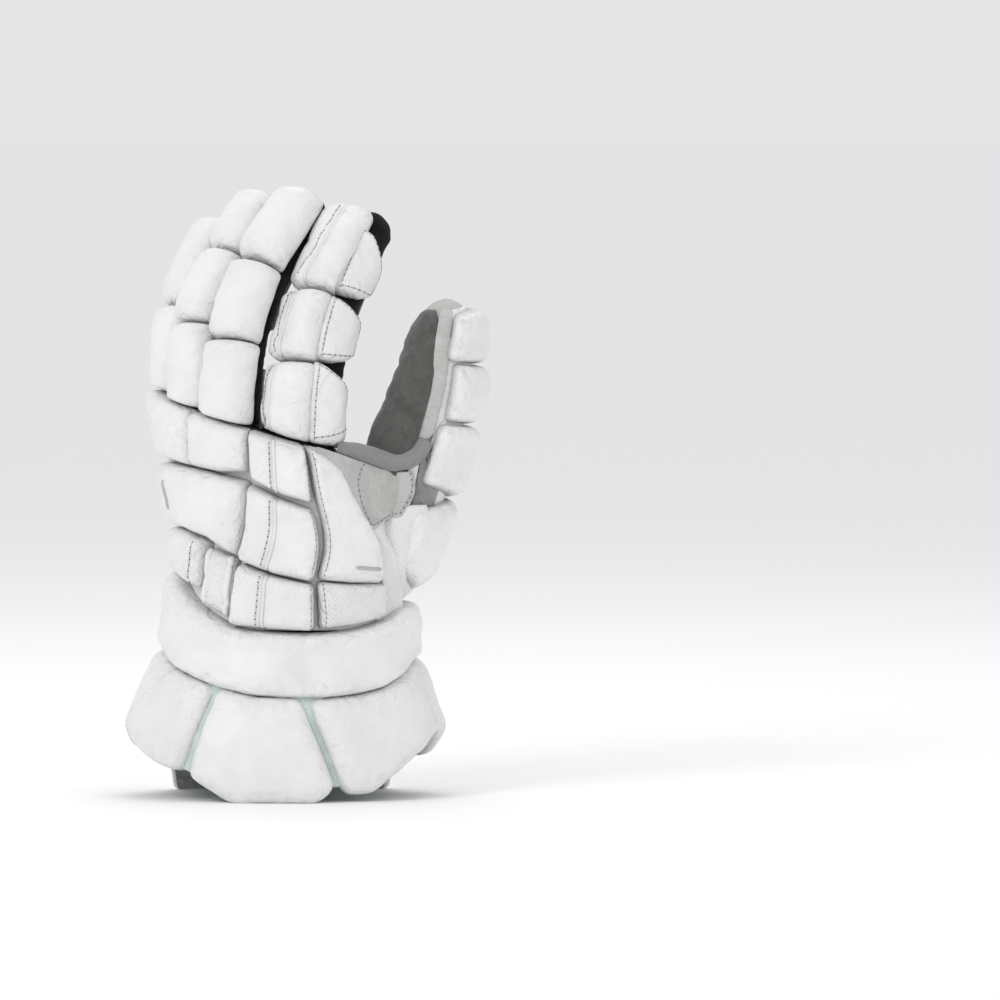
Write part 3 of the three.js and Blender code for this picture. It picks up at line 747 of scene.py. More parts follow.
WHITE = leather("white_leather", (0.82, 0.82, 0.815), (0.75, 0.75, 0.755))
PEBBLE = leather("white_pebbled_leather", (0.81, 0.81, 0.80), (0.74, 0.74, 0.745), grain=430, relief=0.0005)
PORED = leather("white_pored_leather", (0.80, 0.80, 0.795), (0.73, 0.73, 0.735), pores=(4.2, 4.2), relief=0.0003)
SMOOTH = leather("white_smooth_leather", (0.82, 0.82, 0.82), (0.76, 0.76, 0.77), grain=1500, relief=0.00012,
                 roughness=0.38)
KNIT = textile("black_knit", (0.012, 0.012, 0.013), (0.003, 0.003, 0.003), (7.0, 2.2), sheen=0.03)
MESH = textile("black_mesh", (0.020, 0.020, 0.021), (0.003, 0.003, 0.003), (3.2, 3.2), sheen=0.05, open_mesh=True)
WEB = textile("black_webbing", (0.012, 0.012, 0.013), (0.004, 0.004, 0.004), (9.0, 4.0), sheen=0.04)
LIGHT = suede("light_grey_suede", (0.65, 0.65, 0.64), (0.37, 0.37, 0.36))
MID = suede("mid_grey_suede", (0.33, 0.33, 0.325), (0.20, 0.20, 0.195))
DARK = suede("dark_grey_suede", (0.15, 0.15, 0.145), (0.055, 0.055, 0.052))
GREEN = textile("green_lining", (0.04, 0.42, 0.16), (0.015, 0.24, 0.08), (6.0, 6.0), roughness=0.55)
SHINE = leather("shiny_grey_flex_patch", (0.36, 0.37, 0.375), (0.22, 0.225, 0.23), grain=300, relief=0.0004,
                roughness=0.25)
# pale green: the lining seen in the flap gaps, paled to paint the green-tinted shade there
PALE_GREEN = textile("pale_green_lining_and_shade", (0.76, 0.88, 0.83), (0.68, 0.82, 0.76), (6.0, 6.0), roughness=0.6)
SILVER = plain("silver_grey_trim", (0.46, 0.46, 0.47), 0.36, Metallic=0.5)
THREAD_GREY = textile("grey_thread", (0.62, 0.62, 0.63), (0.45, 0.45, 0.46), (20.0, 20.0))
THREAD_WHITE = textile("white_thread", (0.70, 0.70, 0.70), (0.52, 0.52, 0.52), (20.0, 20.0))
# dark dots that paint the shade in the needle holes
HOLE_SHADE = plain("needle_hole_shade", (0.12, 0.12, 0.125), 0.9)
# Slot names with their finishes, and the slot name of each finish
SLOTS = {"white_leather": (WHITE, PEBBLE, PORED, SMOOTH, THREAD_WHITE), "light_grey_suede": (LIGHT, THREAD_GREY),
         "mid_grey_suede": (MID, SHINE, SILVER), "dark_grey_suede": (DARK,), "black_knit": (KNIT, MESH),
         "black_binding": (WEB, HOLE_SHADE), "green_lining": (GREEN, PALE_GREEN)}
SLOT_OF = {finish.name: slot for slot, finishes in SLOTS.items() for finish in finishes}


# Shells: the black mesh hand tube, the light grey suede thumb stall and the four black knit finger stalls

def around(count):
    """Angles of that many even spots round a tube."""
    return np.linspace(-180, 180, count + 1)[:-1]


def pattern(angle, girth, marks):
    """Pattern map of rings: the way round the tube and the height of each."""
    return np.stack(np.broadcast_arrays(angle[None] / 360 * girth, marks[:, None]), -1).reshape(-1, 2)


def girdled(rings):
    """Area of rings, each closed round its tube."""
    return surface_area(np.concatenate([rings, rings[:, :1]], axis=1))


def creased(skin, marks, angle, fold):
    """Rings on a skin, moved out by fold(rings) in mm."""
    rings, away = (np.stack([skin(s, angle, rise) for s in marks]) for rise in (0, 1.0))
    return rings + (away - rings) * fold(rings)[..., None]


def wall(name, skin, marks, finish, solid, girth, creases, seed, flat):
    """An open tube of cloth: rings outside, over the lip and back inside."""
    angle = around(96)
    outer = creased(skin, marks, angle, lambda rings: creases * ripple(rings * [1, 1, 1.9], 13, seed))
    inner = np.stack([skin(s, angle, -WALL) for s in marks])[::-1]
    rings = np.concatenate([outer, inner])
    index = np.arange(rings.shape[0] * rings.shape[1]).reshape(rings.shape[:2])
    down, turned = np.roll(index, -1, 0), np.roll(index, -1, 1)
    faces = np.stack([index, turned, np.roll(down, -1, 1), down], -1).reshape(-1, 4)
    points = rings.reshape(-1, 3)
    piece = make(name, points, facing_out(points, faces), finish,
                 pattern(angle, girth, np.concatenate([marks, marks[::-1]])))
    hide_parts(solid)
    lay_flat(piece, *flat, girdled(outer))


wall("mesh_hand_shell", hand, np.linspace(80, RIM, 70), MESH, "hand_shell", 290.0, 0.35, 8, (310, 128))


def capped(name, skin, first, last, wide_end, finish, solid, girth, creases, seed, flat, root=None):
    """A stall: rings outside up to a domed tip, closed there, and a dark inner wall that ends under the tip."""
    angle = around(72)
    marks = np.concatenate([np.linspace(first, last - wide_end, 60),
                            last - wide_end * (1 - np.sin(np.linspace(0.1, np.pi / 2, 12)))])
    outer = creased(skin, marks, angle, lambda rings: creases * (
        ripple(rings * [1, 1, 2.2], 12, seed) + 0.4 * ripple(rings, 4.5, seed + 1)))
    inner_marks = marks[marks < last - wide_end - 2]
    inner = np.stack([skin(s, angle, -2.0) for s in inner_marks])
    if root is not None:
        for rings in (outer, inner):
            low = rim_height(rings[0]) + root
            share = np.clip(1 - np.arange(len(rings)) / 12, 0, 1)[:, None]
            rings[..., 2] += share * (low - rings[0][:, 2])[None]
    rings = np.concatenate([inner[::-1], outer])
    n, m = rings.shape[:2]
    end = outer[-1].mean(0)
    tip = end + unit(end - outer[-4].mean(0)) * 0.4
    points = np.concatenate([rings.reshape(-1, 3), [rings[0].mean(0), tip]])
    faces = ring_faces(rings, shut=False)
    faces += [[(k + 1) % m, k, n * m] for k in range(m)]
    faces += [[(n - 1) * m + k, (n - 1) * m + (k + 1) % m, n * m + 1] for k in range(m)]
    map_uv = pattern(angle, girth, np.concatenate([inner_marks[::-1], marks]))
    map_uv = np.concatenate([map_uv, [[0, inner_marks[-1]], [0, marks[-1]]]])
    piece = make(name, points, faces, finish, map_uv)
    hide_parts(solid)
    lay_flat(piece, *flat, girdled(outer))


for finger, (back, wide, deep, _) in FINGERS.items():
    girth = math.pi * (wide + deep)
    capped(f"{finger}_knit_stall", SKINS[finger], 17, LENGTHS[finger], deep, KNIT, f"{finger}_stall", girth, 0.45,
           20 + back, (girth, LENGTHS[finger] - 17 + deep), root=0.4)
capped("thumb_suede_stall", thumb, 100, 271.5, 8, LIGHT, "thumb_stall", 122.0, 0.25, 77, (122, 178))


# Rolls of the fingers

ROLL_FOOT = 0.8                 # gap over the finger root line
ROLL = [[-62, 3.4], [-47, 8.5], [-28, 12], [0, 13], [28, 12], [47, 8.5], [62, 3.4]]
SEGMENTS = {"middle": [[18, 55], [57, 97], [100, 146]], "ring": [[22, 59], [61, 100], [102.5, 141]],
            "little": [[24, 63], [65, 116]]}
for finger, segments in SEGMENTS.items():
    for i, (low, high) in enumerate(segments):
        last = i == len(segments) - 1
        columns = [[a, low, a, high, thick] for a, thick in ROLL]
        pad = Pad(SKINS[finger], columns, seat=1.1, side=6, end=9 if last else 6.5, corner=3, crown=0.4, tucks=1.5,
                  seed=31 + 7 * i + len(finger), folds=0.45, foot=None if i else ROLL_FOOT, bend=True, grow=0.9,
                  radius=24)
        sew(f"{finger}_roll_{i + 1}_cover", pad, SMOOTH if last else WHITE, f"{finger}_roll_{i + 1}")

# The index rolls: a narrow strip, a piped seam, the main face and a flatter stitched wing
INDEX_MAIN = [[-70, 10.5], [-58, 13], [-43, 13.5], [-28, 13.3], [-10, 13], [12, 11.5]]
# s low and high, and where across the seam starts and ends
INDEX_SEGMENTS = [[15, 46.5, 0.35, 0.35], [48.5, 84.5, 0.36, 0.41], [87, 139, 0.42, 0.60]]
INDEX_WINGS = [
    [[6, 15, 6, 49.5, 8.5], [30, 16, 30, 46.5, 7.6], [55, 19, 55, 42.5, 6.2], [84, 24, 84, 36, 3.6]],
    [[6, 48.8, 6, 86, 8.5], [40, 49.5, 40, 83, 7.4], [66, 52, 66, 79, 6], [86, 58, 86, 72, 3.6]],
    [[6, 87.5, 6, 129, 8.5], [34, 88, 34, 127, 7.4], [62, 90, 62, 118, 6], [87, 95, 87, 109, 3.6]],
]
for i, (low, high, near, far) in enumerate(INDEX_SEGMENTS):
    foot = None if i else ROLL_FOOT
    columns = [[a, low, a, high, thick] for a, thick in INDEX_MAIN]
    if i == 2:
        columns.append([22, 124, 22, 136, 8])
    pad = Pad(SKINS["index"], columns, seat=1.1, side=5.5, end=6.5, corner=2.5, crown=0.3, tucks=1.3, seed=91 + i,
              folds=0.4, foot=foot, grow=0.7, radius=26, seams=[([(near, 0.02), (far, 0.98)], 2.2, 1.3)])
    sew(f"index_roll_{i + 1}_cover", pad, WHITE, f"index_roll_{i + 1}")
    piping(pad, [(near, 0.04), (far, 0.96)], "piping_white", radius=0.85, lift=0.5)
    stitch(pad, [(near - 0.07, 0.1), (far - 0.07, 0.9)])
    wing = Pad(SKINS["index"], INDEX_WINGS[i], seat=1.1, side=4.5, end=4.5, corner=3, crown=1.4, seed=120 + i,
               folds=0.25, foot=foot, seams=[(upright(0.13, 0.03), 0.8, 1.4)])
    sew(f"index_wing_{i + 1}", wing, WHITE, None)
    stitch(wing, upright(0.15, 0.06))
    stitch(wing, [(0.18, 0.93), (0.88, 0.88), (0.92, 0.5), (0.88, 0.12), (0.18, 0.07)])

# Pads of the back of the hand
TOP = RIM - 1.2
BACK = {
    "knuckle_ring": [[-80, 177.5, -81, TOP, 10], [-55, 176.5, -50, TOP, 13], [-29.5, 176.5, -19.5, TOP, 13]],
    "knuckle_middle": [[-28, 176.5, -17.5, TOP, 13], [-11, 177, 0, TOP, 13], [6.5, 180.5, 16.5, TOP, 13]],
    "back_block_1": [[8.5, 177, 18.5, TOP, 13], [21, 170, 35, TOP, 13], [36, 167, 53, TOP, 13]],
    "back_block_2": [[-17, 130.5, 5.5, 172, 13], [0, 124, 20, 165.5, 13], [18, 120, 33, 161.5, 13]],
    "back_block_3": [[-24, 96, -16.5, 127.5, 13], [-4, 93.8, 0, 121.5, 13], [16, 92.8, 18.5, 117, 13]],
    "side_roll_long": [[-79, 144, -79, 172, 11], [-49, 143.5, -44, 174, 13], [-32, 140, -20, 174, 13],
                       [-19, 132, 4, 173, 13]],
    "side_roll_short": [[-79, 126, -79, 142, 11], [-60, 120, -58, 141.5, 12], [-44, 114, -38.5, 137.5, 12]],
    "vent_notch": [[-42, 108, -36, 134, 7], [-26.5, 99, -20.5, 129.5, 7]],
    "thumb_side_panel_upper": [[22, 121.5, 57.5, TOP, 12], [38, 120, 66, 202, 11], [60, 119.5, 76, 192, 8]],
    "thumb_side_panel_lower": [[20.5, 93.5, 22, 119, 12], [38, 96, 38, 118, 11], [58, 100, 64, 118, 8]],
    "side_pad_upper": [[-130, 172, -128, 186, 7], [-114, 161, -116, 202, 8], [-99, 163, -103, 204, 8],
                       [-82.5, 166, -84.5, TOP, 8]],
    "side_pad_lower": [[-138, 94, -132, 158, 6], [-118, 99, -111, 158, 8], [-98, 124, -84, 160, 9]],
}
back = {}
for k, (name, columns) in enumerate(BACK.items()):
    block = name.startswith("back_block")
    pad = back[name] = Pad(hand, columns, seat=1.0, side=5.5, end=5.5, corner=2.5, crown=0.4, tucks=1.2,
                           seed=201 + 3 * k, folds=0.4, grow=1.0, radius=48,
                           seams=[(upright(0.42, 0.02), 1.5, 1.6)] if block else [])
    sew(f"{name}_cover", pad, PORED if name in ("vent_notch", "thumb_side_panel_lower") else WHITE, name)
    if block:
        piping(pad, upright(0.42, 0.03), "piping_white", radius=0.85, lift=0.45)
        stitch(pad, upright(0.36, 0.08))
        stitch(pad, upright(0.95, 0.05))
for name in ("side_pad_upper", "side_pad_lower"):
    stitch(back[name], [(0.1, 0.06), (0.1, 0.94), (0.9, 0.94)])
# Plain silver-grey trims: a short upright bar on the long side roll and a level one low on the thumb-side panel
for name, path in (("side_roll_long", upright(0.38, 0.28)),
                   ("thumb_side_panel_upper", [(0.42, 0.12), (0.86, 0.12)])):
    piping(back[name], path, "silver_trims", radius=1.0, lift=0.1)
for edge in (0.14, 0.86):
    piping(back["vent_notch"], upright(edge, 0.02), "piping_white", radius=1.9, lift=-0.2)
stitch(back["thumb_side_panel_upper"], upright(0.07, 0.04))
stitch(back["thumb_side_panel_lower"], upright(0.07, 0.06))
stitch(back["side_roll_short"], upright(0.9, 0.1))

# Wrist band, cuff and straps
BAND_EDGE = np.array([
    [-100, 80, 120], [-90, 83, 121], [-77, 79, 121], [-60, 72, 112], [-45, 67, 104], [-32, 62.5, 98], [-23, 60, 94],
    [-10, 57, 92], [18, 56, 91], [35, 58, 92.5], [48, 61, 95], [62, 67, 99], [75, 73, 104], [96, 76, 108]])
band = Pad(hand, [[a, low, a, high, 11] for a, low, high in BAND_EDGE], side=3, end=6, corner=2, crown=0.6,
           seed=301, folds=0.5, bend=True, seams=[([(0.575, 0.0), (0.57, 0.4), (0.575, 1.0)], 0.6, 2.2)])
sew("wrist_band_cover", band, SMOOTH, "wrist_band")


def flap_top(angle):
    """Top of a flap: 0.6 mm under the wrist band, or 78 where there is no band."""
    if angle < -100 or angle > 96:
        return 78.0
    return min(float(np.interp(angle, BAND_EDGE[:, 0], BAND_EDGE[:, 1])) - 0.6, 79)


FLAPS = {
    "cuff_flap_little_side": [[-110, 22, -108], [-95, 33, -95], [-80, 36, -77], [-66, 27, -60], [-52, 20, -45],
                              [-39.5, 16, -29]],
    "cuff_middle_plate": [[-36, 15, -26.5], [-30, 9, -23], [-18, 0, -15], [-8, 0, -10], [3, 0, -3], [12, 0, 2],
                          [19.5, 8, 8]],
    "cuff_flap_thumb_side": [[22.5, 6, 11], [27, 4.5, 18], [35, 5.5, 27], [42, 12, 35], [52, 20, 48], [62, 27, 62],
                             [76, 35, 75], [96, 32, 96], [117, 18, 113]],
}
# Seams across the flaps: path, depth, width
CUFF_SEAMS = {"cuff_flap_little_side": [([(0.28, 0.05), (0.66, 0.97)], 1.0, 0.9)],
              "cuff_flap_thumb_side": [([(0.62, 0.03), (0.60, 0.5), (0.66, 0.97)], 1.0, 0.9)]}
flaps = {}
for k, (name, edge) in enumerate(FLAPS.items()):
    columns = [[low, base, high, flap_top(high), 10] for low, base, high in edge]
    pad = flaps[name] = Pad(hand, columns, side=5, end=6, corner=5, crown=0.8, seed=320 + k, folds=0.4,
                            grow=0.8, radius=90, bend=True, seams=CUFF_SEAMS.get(name, []))
    sew(f"{name}_cover", pad, PEBBLE if "flap" in name else SMOOTH, name)

# Lining that shows between the flaps, in a pale green that paints the green-tinted shade in the gaps
for name, columns in {"cuff_gap_lining_little_side": [[-48, 22, -40, 66, 1.4], [-24, 9, -20, 60, 1.4]],
                      "cuff_gap_lining_thumb_side": [[10, 8, -2, 58, 1.4], [30, 9, 18, 58, 1.4]]}.items():
    pad = Pad(hand, columns, seat=4.5, corner=2, folds=0.2, seed=333, flat=True)
    sew(name, pad, PALE_GREEN)

strap = {}
for name, seat, end, columns in (
    ("strap_thumb_side", 0.9, 2.5, [[138, 0, 129.5, 74, 6], [160.8, 0, 157.3, 74, 6]]),
    ("strap_little_side", 0.9, 2.0, [[161.4, 0, 158, 66, 4], [184, 1, 184, 63, 4], [208, 0, 213, 70, 4],
                                     [228, 0, 240, 75, 4]]),
    ("closure_tab", 5.6, 1.4, [[162, 2, 158.5, 72, 3], [183, 5, 184, 62, 3], [203, 12, 208, 53, 3]]),
):
    pad = strap[name] = Pad(hand, columns, seat=seat, side=end, end=end, corner=3, crown=0.7, seed=340 + len(name),
                            folds=0.35)
    sew(f"{name}_cover", pad, SMOOTH, name)
piping(strap["closure_tab"], [(0.03, 0.005), (0.97, 0.02), (0.995, 0.5), (0.97, 0.98)], "hook_edges", radius=1.1,
       lift=-1.0)
stitch(strap["strap_thumb_side"], upright(0.86, 0.03))
# Small slit in the little-finger side flap
spots, way, normal = on_path(flaps["cuff_flap_little_side"], [(0.10, 0.62), (0.14, 0.34)], 12.0, 0.05)
keep("hook_edges", *beads(spots[:1] / 2 + spots[-1:] / 2, way[:1], normal[:1], (5.6, 1.1, 0.4)))
stitch(strap["closure_tab"], upright(0.07, 0.05))
stitch(strap["strap_little_side"], upright(0.9, 0.05))

for name, columns in (
    ("band_elastic", [[-114, 80, -114, 99, 3], [-101.5, 81, -101.5, 107, 3]]),
    ("cuff_elastic_thumb_side", [[117.1, 27, 115.4, 54, 2], [134.4, 27, 131.3, 54, 2]]),
    ("cuff_elastic_little_side", [[232.8, 26, 237.9, 57, 2], [249.5, 26, 250.6, 57, 2]]),
):
    pad = Pad(hand, columns, corner=0.5, crown=0.3, folds=0.15, seed=360 + len(name))
    sew(f"{name}_webbing", pad, WEB, name)
tab = Pad(hand, [[97.5, 83, 97.5, 105, 3], [111, 85, 111, 101, 3]], side=1.2, end=1.2, corner=1, crown=0.4,
          folds=0.1, seed=371)
sew("thumb_side_tab_cover", tab, SMOOTH, "thumb_side_tab")
stitch(tab, [(0.12, 0.08), (0.12, 0.92), (0.88, 0.92), (0.88, 0.08), (0.12, 0.08)])
BINDING = [[113, 85, 97], [140, 85, 97.5], [168, 86, 99], [205, 79, 93], [230, 77, 88.5], [245, 76.5, 86]]
binding = Pad(hand, [[a, low, a, high, 3.5] for a, low, high in BINDING], side=1.5, end=3.5, corner=1,
              crown=0.4, folds=0.35, seed=372, bend=True)
sew("rim_binding_tape", binding, WEB, "rim_binding")
wall("green_cuff_lining", lining, np.linspace(20, 79.4, 34), GREEN, "green_lining", 320.0, 0.9, 15, (330, 62))

# Suede of the palm, the fingers and the thumb

def suede_panel(name, skin, columns, finish, **given):
    """A thin panel standing for the solid of its name."""
    pad = Pad(skin, [[*row, SUEDE] for row in columns], flat=True, step=1.6, **given)
    return sew(f"{name}_suede", pad, finish, name)


for finger, low, high, finish in (("index", 69, 122, MID), ("middle", 70, 126, MID), ("ring", 70, 123, LIGHT),
                                  ("little", 56, 103, LIGHT)):
    columns = [[a, low, a, high] for a in (134, 157, 180, 203, 226)]
    pad = suede_panel(f"{finger}_finger_patch", SKINS[finger], columns, finish, seat=0.8, corner=(0.5, 11), folds=0.2,
                      seed=400)
    stitch(pad, [(0.05, 0.05), (0.95, 0.05)], size=(1.2, 0.45, 0.4))

# Palm panels, each with two rows of stitches all round
PALM = {
    "palm_panel_upper": [[176, 192.5, 172, TOP], [194, 185.5, 194, TOP], [229, 176, 226, TOP]],
    "palm_band_diagonal": [[121, 196, 116, 206], [150, 189, 146, 202], [167, 183.5, 160, 197], [182, 176, 174, 190],
                           [197, 168.5, 192, 183], [231, 158, 228, 174]],
    "heel_patch": [[179, 99, 165, 163], [186, 98.5, 176, 168], [200, 96, 198, 160], [222, 92, 229, 147]],
}
for name, columns in PALM.items():
    pad = suede_panel(name, hand, columns, LIGHT, corner=1.5, seed=410, folds=0.35)
    for away in (2.0, 4.6):
        a, b = away / pad.wide, away / pad.tall
        stitch(pad, [(a, b), (a, 1 - b), (1 - a, 1 - b), (1 - a, b), (a, b)], **GREY)
# Strip at the palm's edge, by rows: height, angle at the thumb side, angle at the little-finger side
STRIP = [[98, 154, 171.5], [108, 153, 168.5], [120, 149, 165], [135, 141, 160.5], [148, 133, 155.5], [160, 124, 148.5],
         [168, 119, 143], [180, 113, 138], [190, 108, 152], [198, 105, 172], [204.6, 104, 182]]
strip = Pad(hand, [[*row, SUEDE] for row in STRIP], seat=1.0, corner=1.0, folds=0.4, seed=415, flat=True,
            by_rows=True, bend=True)
sew("palm_strip_suede", strip, LIGHT)
for away in (2.0, 4.0):
    a = away / strip.wide
    stitch(strip, [(1 - 1.2 * a, 0.02), (1 - a, 0.5), (1 - 0.8 * a, 0.8)], **GREY)
stitch(strip, [(0.10, 0.02), (0.14, 0.5), (0.2, 0.8)], **GREY)
zigzag = [(0.20 + 0.07 * (k % 2), v) for k, v in enumerate(np.linspace(0.03, 0.72, 74))]
stitch(strip, zigzag, group="stitches_grey", size=(0.9, 0.4, 0.36), pitch=2.0, holes=False)
# Finger root tabs of the upper palm suede, one over each finger's root
ROOT_TABS = {"index": (126, 228, 44), "middle": (128, 234, 46), "ring": (128, 234, 45), "little": (128, 226, 39)}
for finger, (first, second, high) in ROOT_TABS.items():
    tab = Pad(SKINS[finger], [[a, 14, a, high, SUEDE] for a in np.linspace(first, second, 5)], corner=(0.5, 2),
              folds=0.3, seed=430, flat=True, foot=-3.0)
    sew(f"{finger}_root_tab", tab, LIGHT)
    stitch(tab, [(0.06, 0.3), (0.06, 0.94), (0.94, 0.94), (0.94, 0.3)], **GREY)


# Webs between the hand and the thumb, front and palm side
WEB_POINTS = (56, 64)           # across and along


def through(points, count):
    """A smooth line through points (rows, k, 3): Catmull slopes, evenly sampled along the points."""
    k = points.shape[1]
    t = np.linspace(0, k - 1, count)
    i = np.clip(t.astype(int), 0, k - 2)
    f = (t - i)[None, :, None]
    padded = np.concatenate([2 * points[:, :1] - points[:, 1:2], points, 2 * points[:, -1:] - points[:, -2:-1]], 1)
    p0, p1, p2, p3 = padded[:, i], padded[:, i + 1], padded[:, i + 2], padded[:, i + 3]
    return 0.5 * (2 * p1 + (p2 - p0) * f + (2 * p0 - 5 * p1 + 4 * p2 - p3) * f**2 + (3 * p1 - p0 - 3 * p2 + p3) * f**3)


class Web:
    """A panel through knots on the hand and on the thumb: each row of the table is [height on the hand, angles on
    the hand, height on the thumb, angles on the thumb], a cubic runs across each row and another through the rows."""

    flat, seat = True, 0.0

    def __init__(self, rows, rises, thick, folds=0.5, seed=500):
        knots = [[hand(s_hand, a, r) for a, r in zip(on_hand, rises)]
                 + [thumb(s_thumb, a, r) for a, r in zip(on_thumb, rises[3:])]
                 for s_hand, on_hand, s_thumb, on_thumb in rows]
        grid = through(through(np.array(knots), WEB_POINTS[0]).transpose(1, 0, 2), WEB_POINTS[1])
        out = unit(np.cross(np.gradient(grid, axis=1), np.gradient(grid, axis=0)))
        if ((grid - [30.0, 0.0, 150.0]) * out * [0.1, 1, 0]).sum() < 0:
            out = -out
        self.under, self.out = grid, out
        self.u, self.v = np.meshgrid(*(np.linspace(0, 1, n) for n in WEB_POINTS), indexing="ij")
        self.wide = float(strides(grid[:, WEB_POINTS[1] // 2]).sum())
        self.tall = float(strides(grid[WEB_POINTS[0] // 2]).sum())
        edge = from_edge(self.u, self.v, self.wide, self.tall)
        lift = thick * (0.3 + 0.7 * shoulder(edge, 2.0)) + folds * shoulder(edge, 8) * ripple(grid, 19, seed)
        self.outer = grid + out * lift[..., None]

    def place(self, u, v, rise=0.0):
        """The point on the panel, or rise above it."""
        return between(self.outer, u, v) + between(self.out, u, v) * rise

    top = place

    def build(self, name, finish, solid=None):
        """The panel as a closed piece standing for its solid."""
        points, faces = closed_sheet(self.outer, self.under - self.out * 0.6)
        map_uv = np.tile(np.stack([self.u * self.wide, self.v * self.tall], -1).reshape(-1, 2), (2, 1))
        # share for the painted shade: 1 on the top, 0 underneath
        piece = make(name, points, facing_out(points, faces), finish, map_uv, np.repeat([1.0, 0.0], self.u.size))
        if solid:
            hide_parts(solid)
        lay_flat(piece, self.wide, self.tall, surface_area(self.outer))
        return self


# Light suede over the palm side of the thumb, down to the rim
Web([
    [98, (155, 145, 134), 104, (118, 96, 64)],
    [112, (153, 142, 131), 114, (116, 92, 62)],
    [128, (146, 137, 127), 130, (118, 94, 62)],
    [145, (138, 130, 121), 148, (122, 96, 62)],
    [160, (126, 119, 112), 165, (124, 98, 62)],
    [178, (114, 108, 102), 186, (128, 100, 60)],
], (1.2,) * 6, SUEDE, seed=501).build("thumb_palm_suede", LIGHT)
# White leather over the front of the thumb's root
Web([
    [94, (54, 66, 78), 100, (-112, -66, 20)],
    [108, (62, 71, 80), 112, (-112, -66, 20)],
    [122, (64, 72, 82), 127, (-114, -74, 0)],
    [138, (64, 72, 82), 143, (-116, -84, -30)],
    [154, (62, 69, 76), 160, (-114, -92, -62)],
], (1.5, 2.0, 3.0, 4.0, 5.0, 6.0), 1.8, seed=502).build("thumb_root_cover", PORED)
hexagon = Web([
    [149, (46, 53, 60), 153, (-104, -96, -88)],
    [159, (48, 55, 62), 160, (-106, -96, -83)],
    [174, (51, 58, 65), 167, (-108, -97, -81)],
    [191, (54, 62, 69), 173, (-112, -100, -84)],
    [206, (58, 66, 73), 178, (-116, -104, -90)],
], (5.0, 5.5, 6.0, 6.5, 6.0, 4.5), 1.8, folds=0.3, seed=503).build("web_patch_suede", LIGHT, "web_patch")
stitch(hexagon, [(0.51, 0.93), (0.47, 0.6), (0.45, 0.3), (0.45, 0.07), (0.86, 0.07), (0.94, 0.4), (0.95, 0.93)],
       **GREY)

# Suede round the thumb; the last number is how far across a row of stitches runs
THUMB_SUEDE = {
    "thumb_suede_panel": (LIGHT, [[60, 172, 60, 261], [76, 174, 76, 263], [92, 176, 92, 262], [126, 180, 124, 246]],
                          0.04),
    "thumb_gusset": (MID, [[127, 178, 125, 250], [150, 176, 146, 257], [176, 174, 174, 258]], 0.12),
    "thumb_border_strip": (LIGHT, [[-92, 190, -100, 266], [-84, 194, -88, 267], [-72, 198, -72, 266]], None),
    "thumb_flex_patch": (SHINE, [[-80, 157, -82, 190], [-64, 158, -64, 178], [-42, 159, -40, 172]], None),
}
for name, (finish, columns, across) in THUMB_SUEDE.items():
    pad = suede_panel(name, thumb, columns, finish, corner=1.0, seed=440 + len(name), folds=0.35)
    if across:
        stitch(pad, upright(across, 0.04), group="stitches_grey", size=(1.3, 0.45, 0.36), pitch=3.8)

# Soft suede inside of the thumb: fuller towards the crotch
inner = Pad(thumb, [[168, -182, -96, 4.5], [182, -184, -94, 7.5], [200, -185, -92, 7.5], [220, -184, -91, 5.5],
                    [240, -183, -92, 3.4], [256, -178, -97, 2.6], [266, -165, -108, 2.2]], seat=0.6, side=13, end=10,
            corner=7, crown=0.4, folds=0.5, seed=449, by_rows=True, bend=True)
sew("thumb_inner_soft_suede", inner, DARK, "thumb_inner_suede")
narrow = Pad(thumb, [[-96, 152, -98, 192, 1.8], [-81, 152, -83, 191, 1.8]], seat=1.4, corner=0.6, folds=0.1,
             seed=451, flat=True)
sew("flex_patch_edge_leather", narrow, WHITE)

# Leather between the rolls, sewn to the shells behind them
GUSSETS = {
    "back_gusset_leather": (hand, [[-140, 92, -140, TOP], [-80, 92, -82, TOP], [-20, 92, -10, TOP], [40, 92, 52, TOP],
                                   [64, 96, 78, TOP - 4]]),
    "middle_gusset_leather": (SKINS["middle"], [[-66, 17, -66, 147], [0, 17, 0, 148], [56, 17, 56, 147]]),
    "ring_gusset_leather": (SKINS["ring"], [[-66, 20, -66, 141], [0, 20, 0, 142], [64, 20, 64, 141]]),
    "little_gusset_leather": (SKINS["little"], [[-66, 22, -66, 116], [0, 22, 0, 117], [64, 22, 64, 116]]),
    "index_gusset_leather": (SKINS["index"], [[-60, 14, -60, 137], [-30, 14, -30, 139], [8, 14, 8, 137]]),
    "thumb_gusset_leather": (thumb, [[-72, 128, -72, 266], [0, 116, 0, 268], [62, 128, 62, 266]]),
}
for k, (name, (skin, columns)) in enumerate(GUSSETS.items()):
    foot = None if skin in (hand, thumb) else 0.6
    pad = Pad(skin, [row + [0.9] for row in columns], seat=0.3, corner=2, folds=0.0, seed=460 + k, flat=True,
              step=3.0, foot=foot)
    sew(name, pad, WHITE)

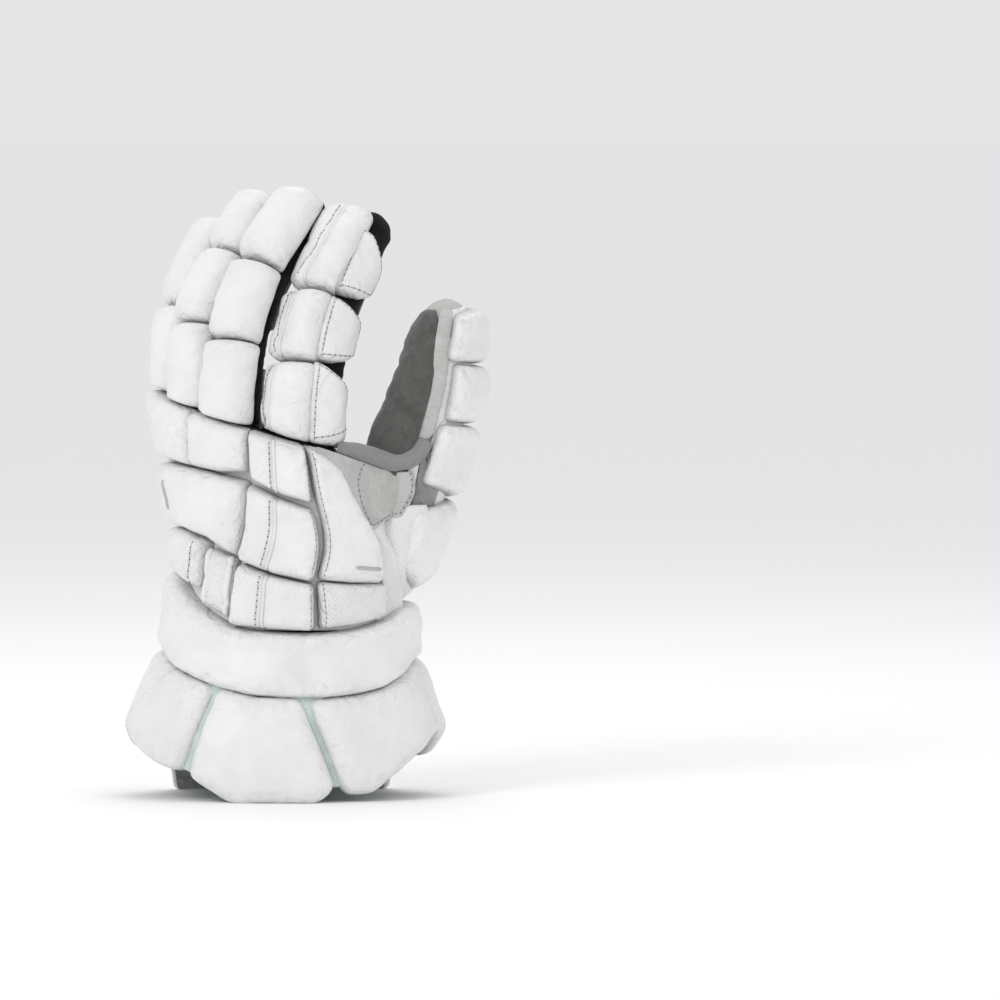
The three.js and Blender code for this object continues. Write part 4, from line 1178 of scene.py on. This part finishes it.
THUMB_PADS = {
    "thumb_roll_1": [[-74, 239, -66, 263, 7], [0, 237, 0, 266, 9], [56, 239, 50, 263, 7]],
    "thumb_roll_2": [[-60, 206, -62, 236, 8], [0, 204, 0, 234, 10], [58, 206, 57, 236, 8]],
    "thumb_roll_3": [[-72, 172, -66, 203, 8], [0, 164, 0, 201, 10], [60, 166, 59, 203, 8]],
    "thumb_roll_4": [[-64, 126, -76, 156, 5], [-36, 118, -36, 159, 7], [0, 113, 0, 161, 8], [60, 118, 60, 163, 7]],
}
for k, (name, columns) in enumerate(THUMB_PADS.items()):
    end, corner = (12, (10, 4)) if name == "thumb_roll_4" else (7, 4)
    pad = Pad(thumb, columns, seat=1.2, side=6, end=end, corner=corner, crown=0.5, seed=420 + k, folds=0.5, grow=0.8,
              radius=26, tucks=1.3)
    sew(f"{name}_cover", pad, WHITE, name)

# Roll of suede in the crotch between thumb and index finger
CROTCH = [[0, 30, -16, 190], [1, 42, -17, 188.5], [2, 53, -16, 185], [3, 62, -14.5, 183], [4, 70, -12.5, 185.5],
          [5, 76, -8, 193.5]]
t = np.linspace(0, 5, 60)
line = rows_at(CROTCH, t)
ahead = unit(np.gradient(line, axis=0))
across = unit(np.cross([0, 0, 1.0], ahead))
up = np.cross(ahead, across)
turn = np.radians(around(28))[None, :, None]
rings = line[:, None] + across[:, None] * (7.5 * np.cos(turn)) + up[:, None] * (5 * np.sin(turn))
rings += ripple(rings, 11, 5)[..., None] * up[:, None] * 0.35
crotch = make("crotch_roll_suede", rings.reshape(-1, 3), ring_faces(rings), MID)
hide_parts("crotch_roll")

# Stitches, painted shade dots at the needle holes and piping, each group as one piece
GROUPS = {"stitches_white": THREAD_WHITE, "stitches_grey": THREAD_GREY, "needle_holes": HOLE_SHADE, "piping_white": SMOOTH,
          "silver_trims": SILVER, "hook_edges": WEB}
for name, (_, parts, faces) in THREADS.items():
    make(name, np.concatenate(parts), faces, GROUPS[name])

# Floor, light and camera
FLOOR = 60                      # metres to each side
bpy.context.scene.view_settings.view_transform = "Standard"
mesh = bpy.data.meshes.new("floor")
mesh.from_pydata([(-FLOOR, -FLOOR, 0), (FLOOR, -FLOOR, 0), (FLOOR, FLOOR, 0), (-FLOOR, FLOOR, 0)], [], [(0, 1, 2, 3)])
mesh.materials.append(plain("pale_floor", (0.99, 0.99, 0.99), 0.9))
floor = put("floor", mesh)
floor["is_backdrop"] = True

world = bpy.data.worlds.new("studio")
world.use_nodes = True
sky = world.node_tree.nodes["Background"].inputs
sky["Color"].default_value = (1, 1, 1, 1)
sky["Strength"].default_value = SKY
bpy.context.scene.world = world

for name, place, power, size in (("key", (-1.1, -1.2, 1.3), 9, 0.7), ("fill", (1.3, -1.0, 0.5), 1.5, 1.0),
                                 ("top", (0.1, 0.7, 1.5), 5, 1.0)):
    light = bpy.data.lights.new(name, "AREA")
    light.energy, light.size = power, size
    lamp = put(name, light)
    lamp.location = place
    lamp.rotation_euler = Vector(np.array(LAMP_AIM) - place).to_track_quat("-Z", "Y").to_euler()

camera = bpy.data.cameras.new("camera")
camera.lens = SENSOR * CAMERA_DISTANCE / PHOTO_WIDTH
camera.clip_start, camera.clip_end = 0.05, 60
holder = put("camera", camera)
rise = math.radians(CAMERA_RISE)
x, z = PHOTO_CENTRE
holder.location = (x, -CAMERA_DISTANCE * math.cos(rise), z + CAMERA_DISTANCE * math.sin(rise))
holder.rotation_euler = (math.pi / 2 - rise, 0, 0)
bpy.context.scene.camera = holder

low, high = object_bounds()
{"cad": [list(cad_low), list(cad_high)], "visual": [list(low), list(high)]}
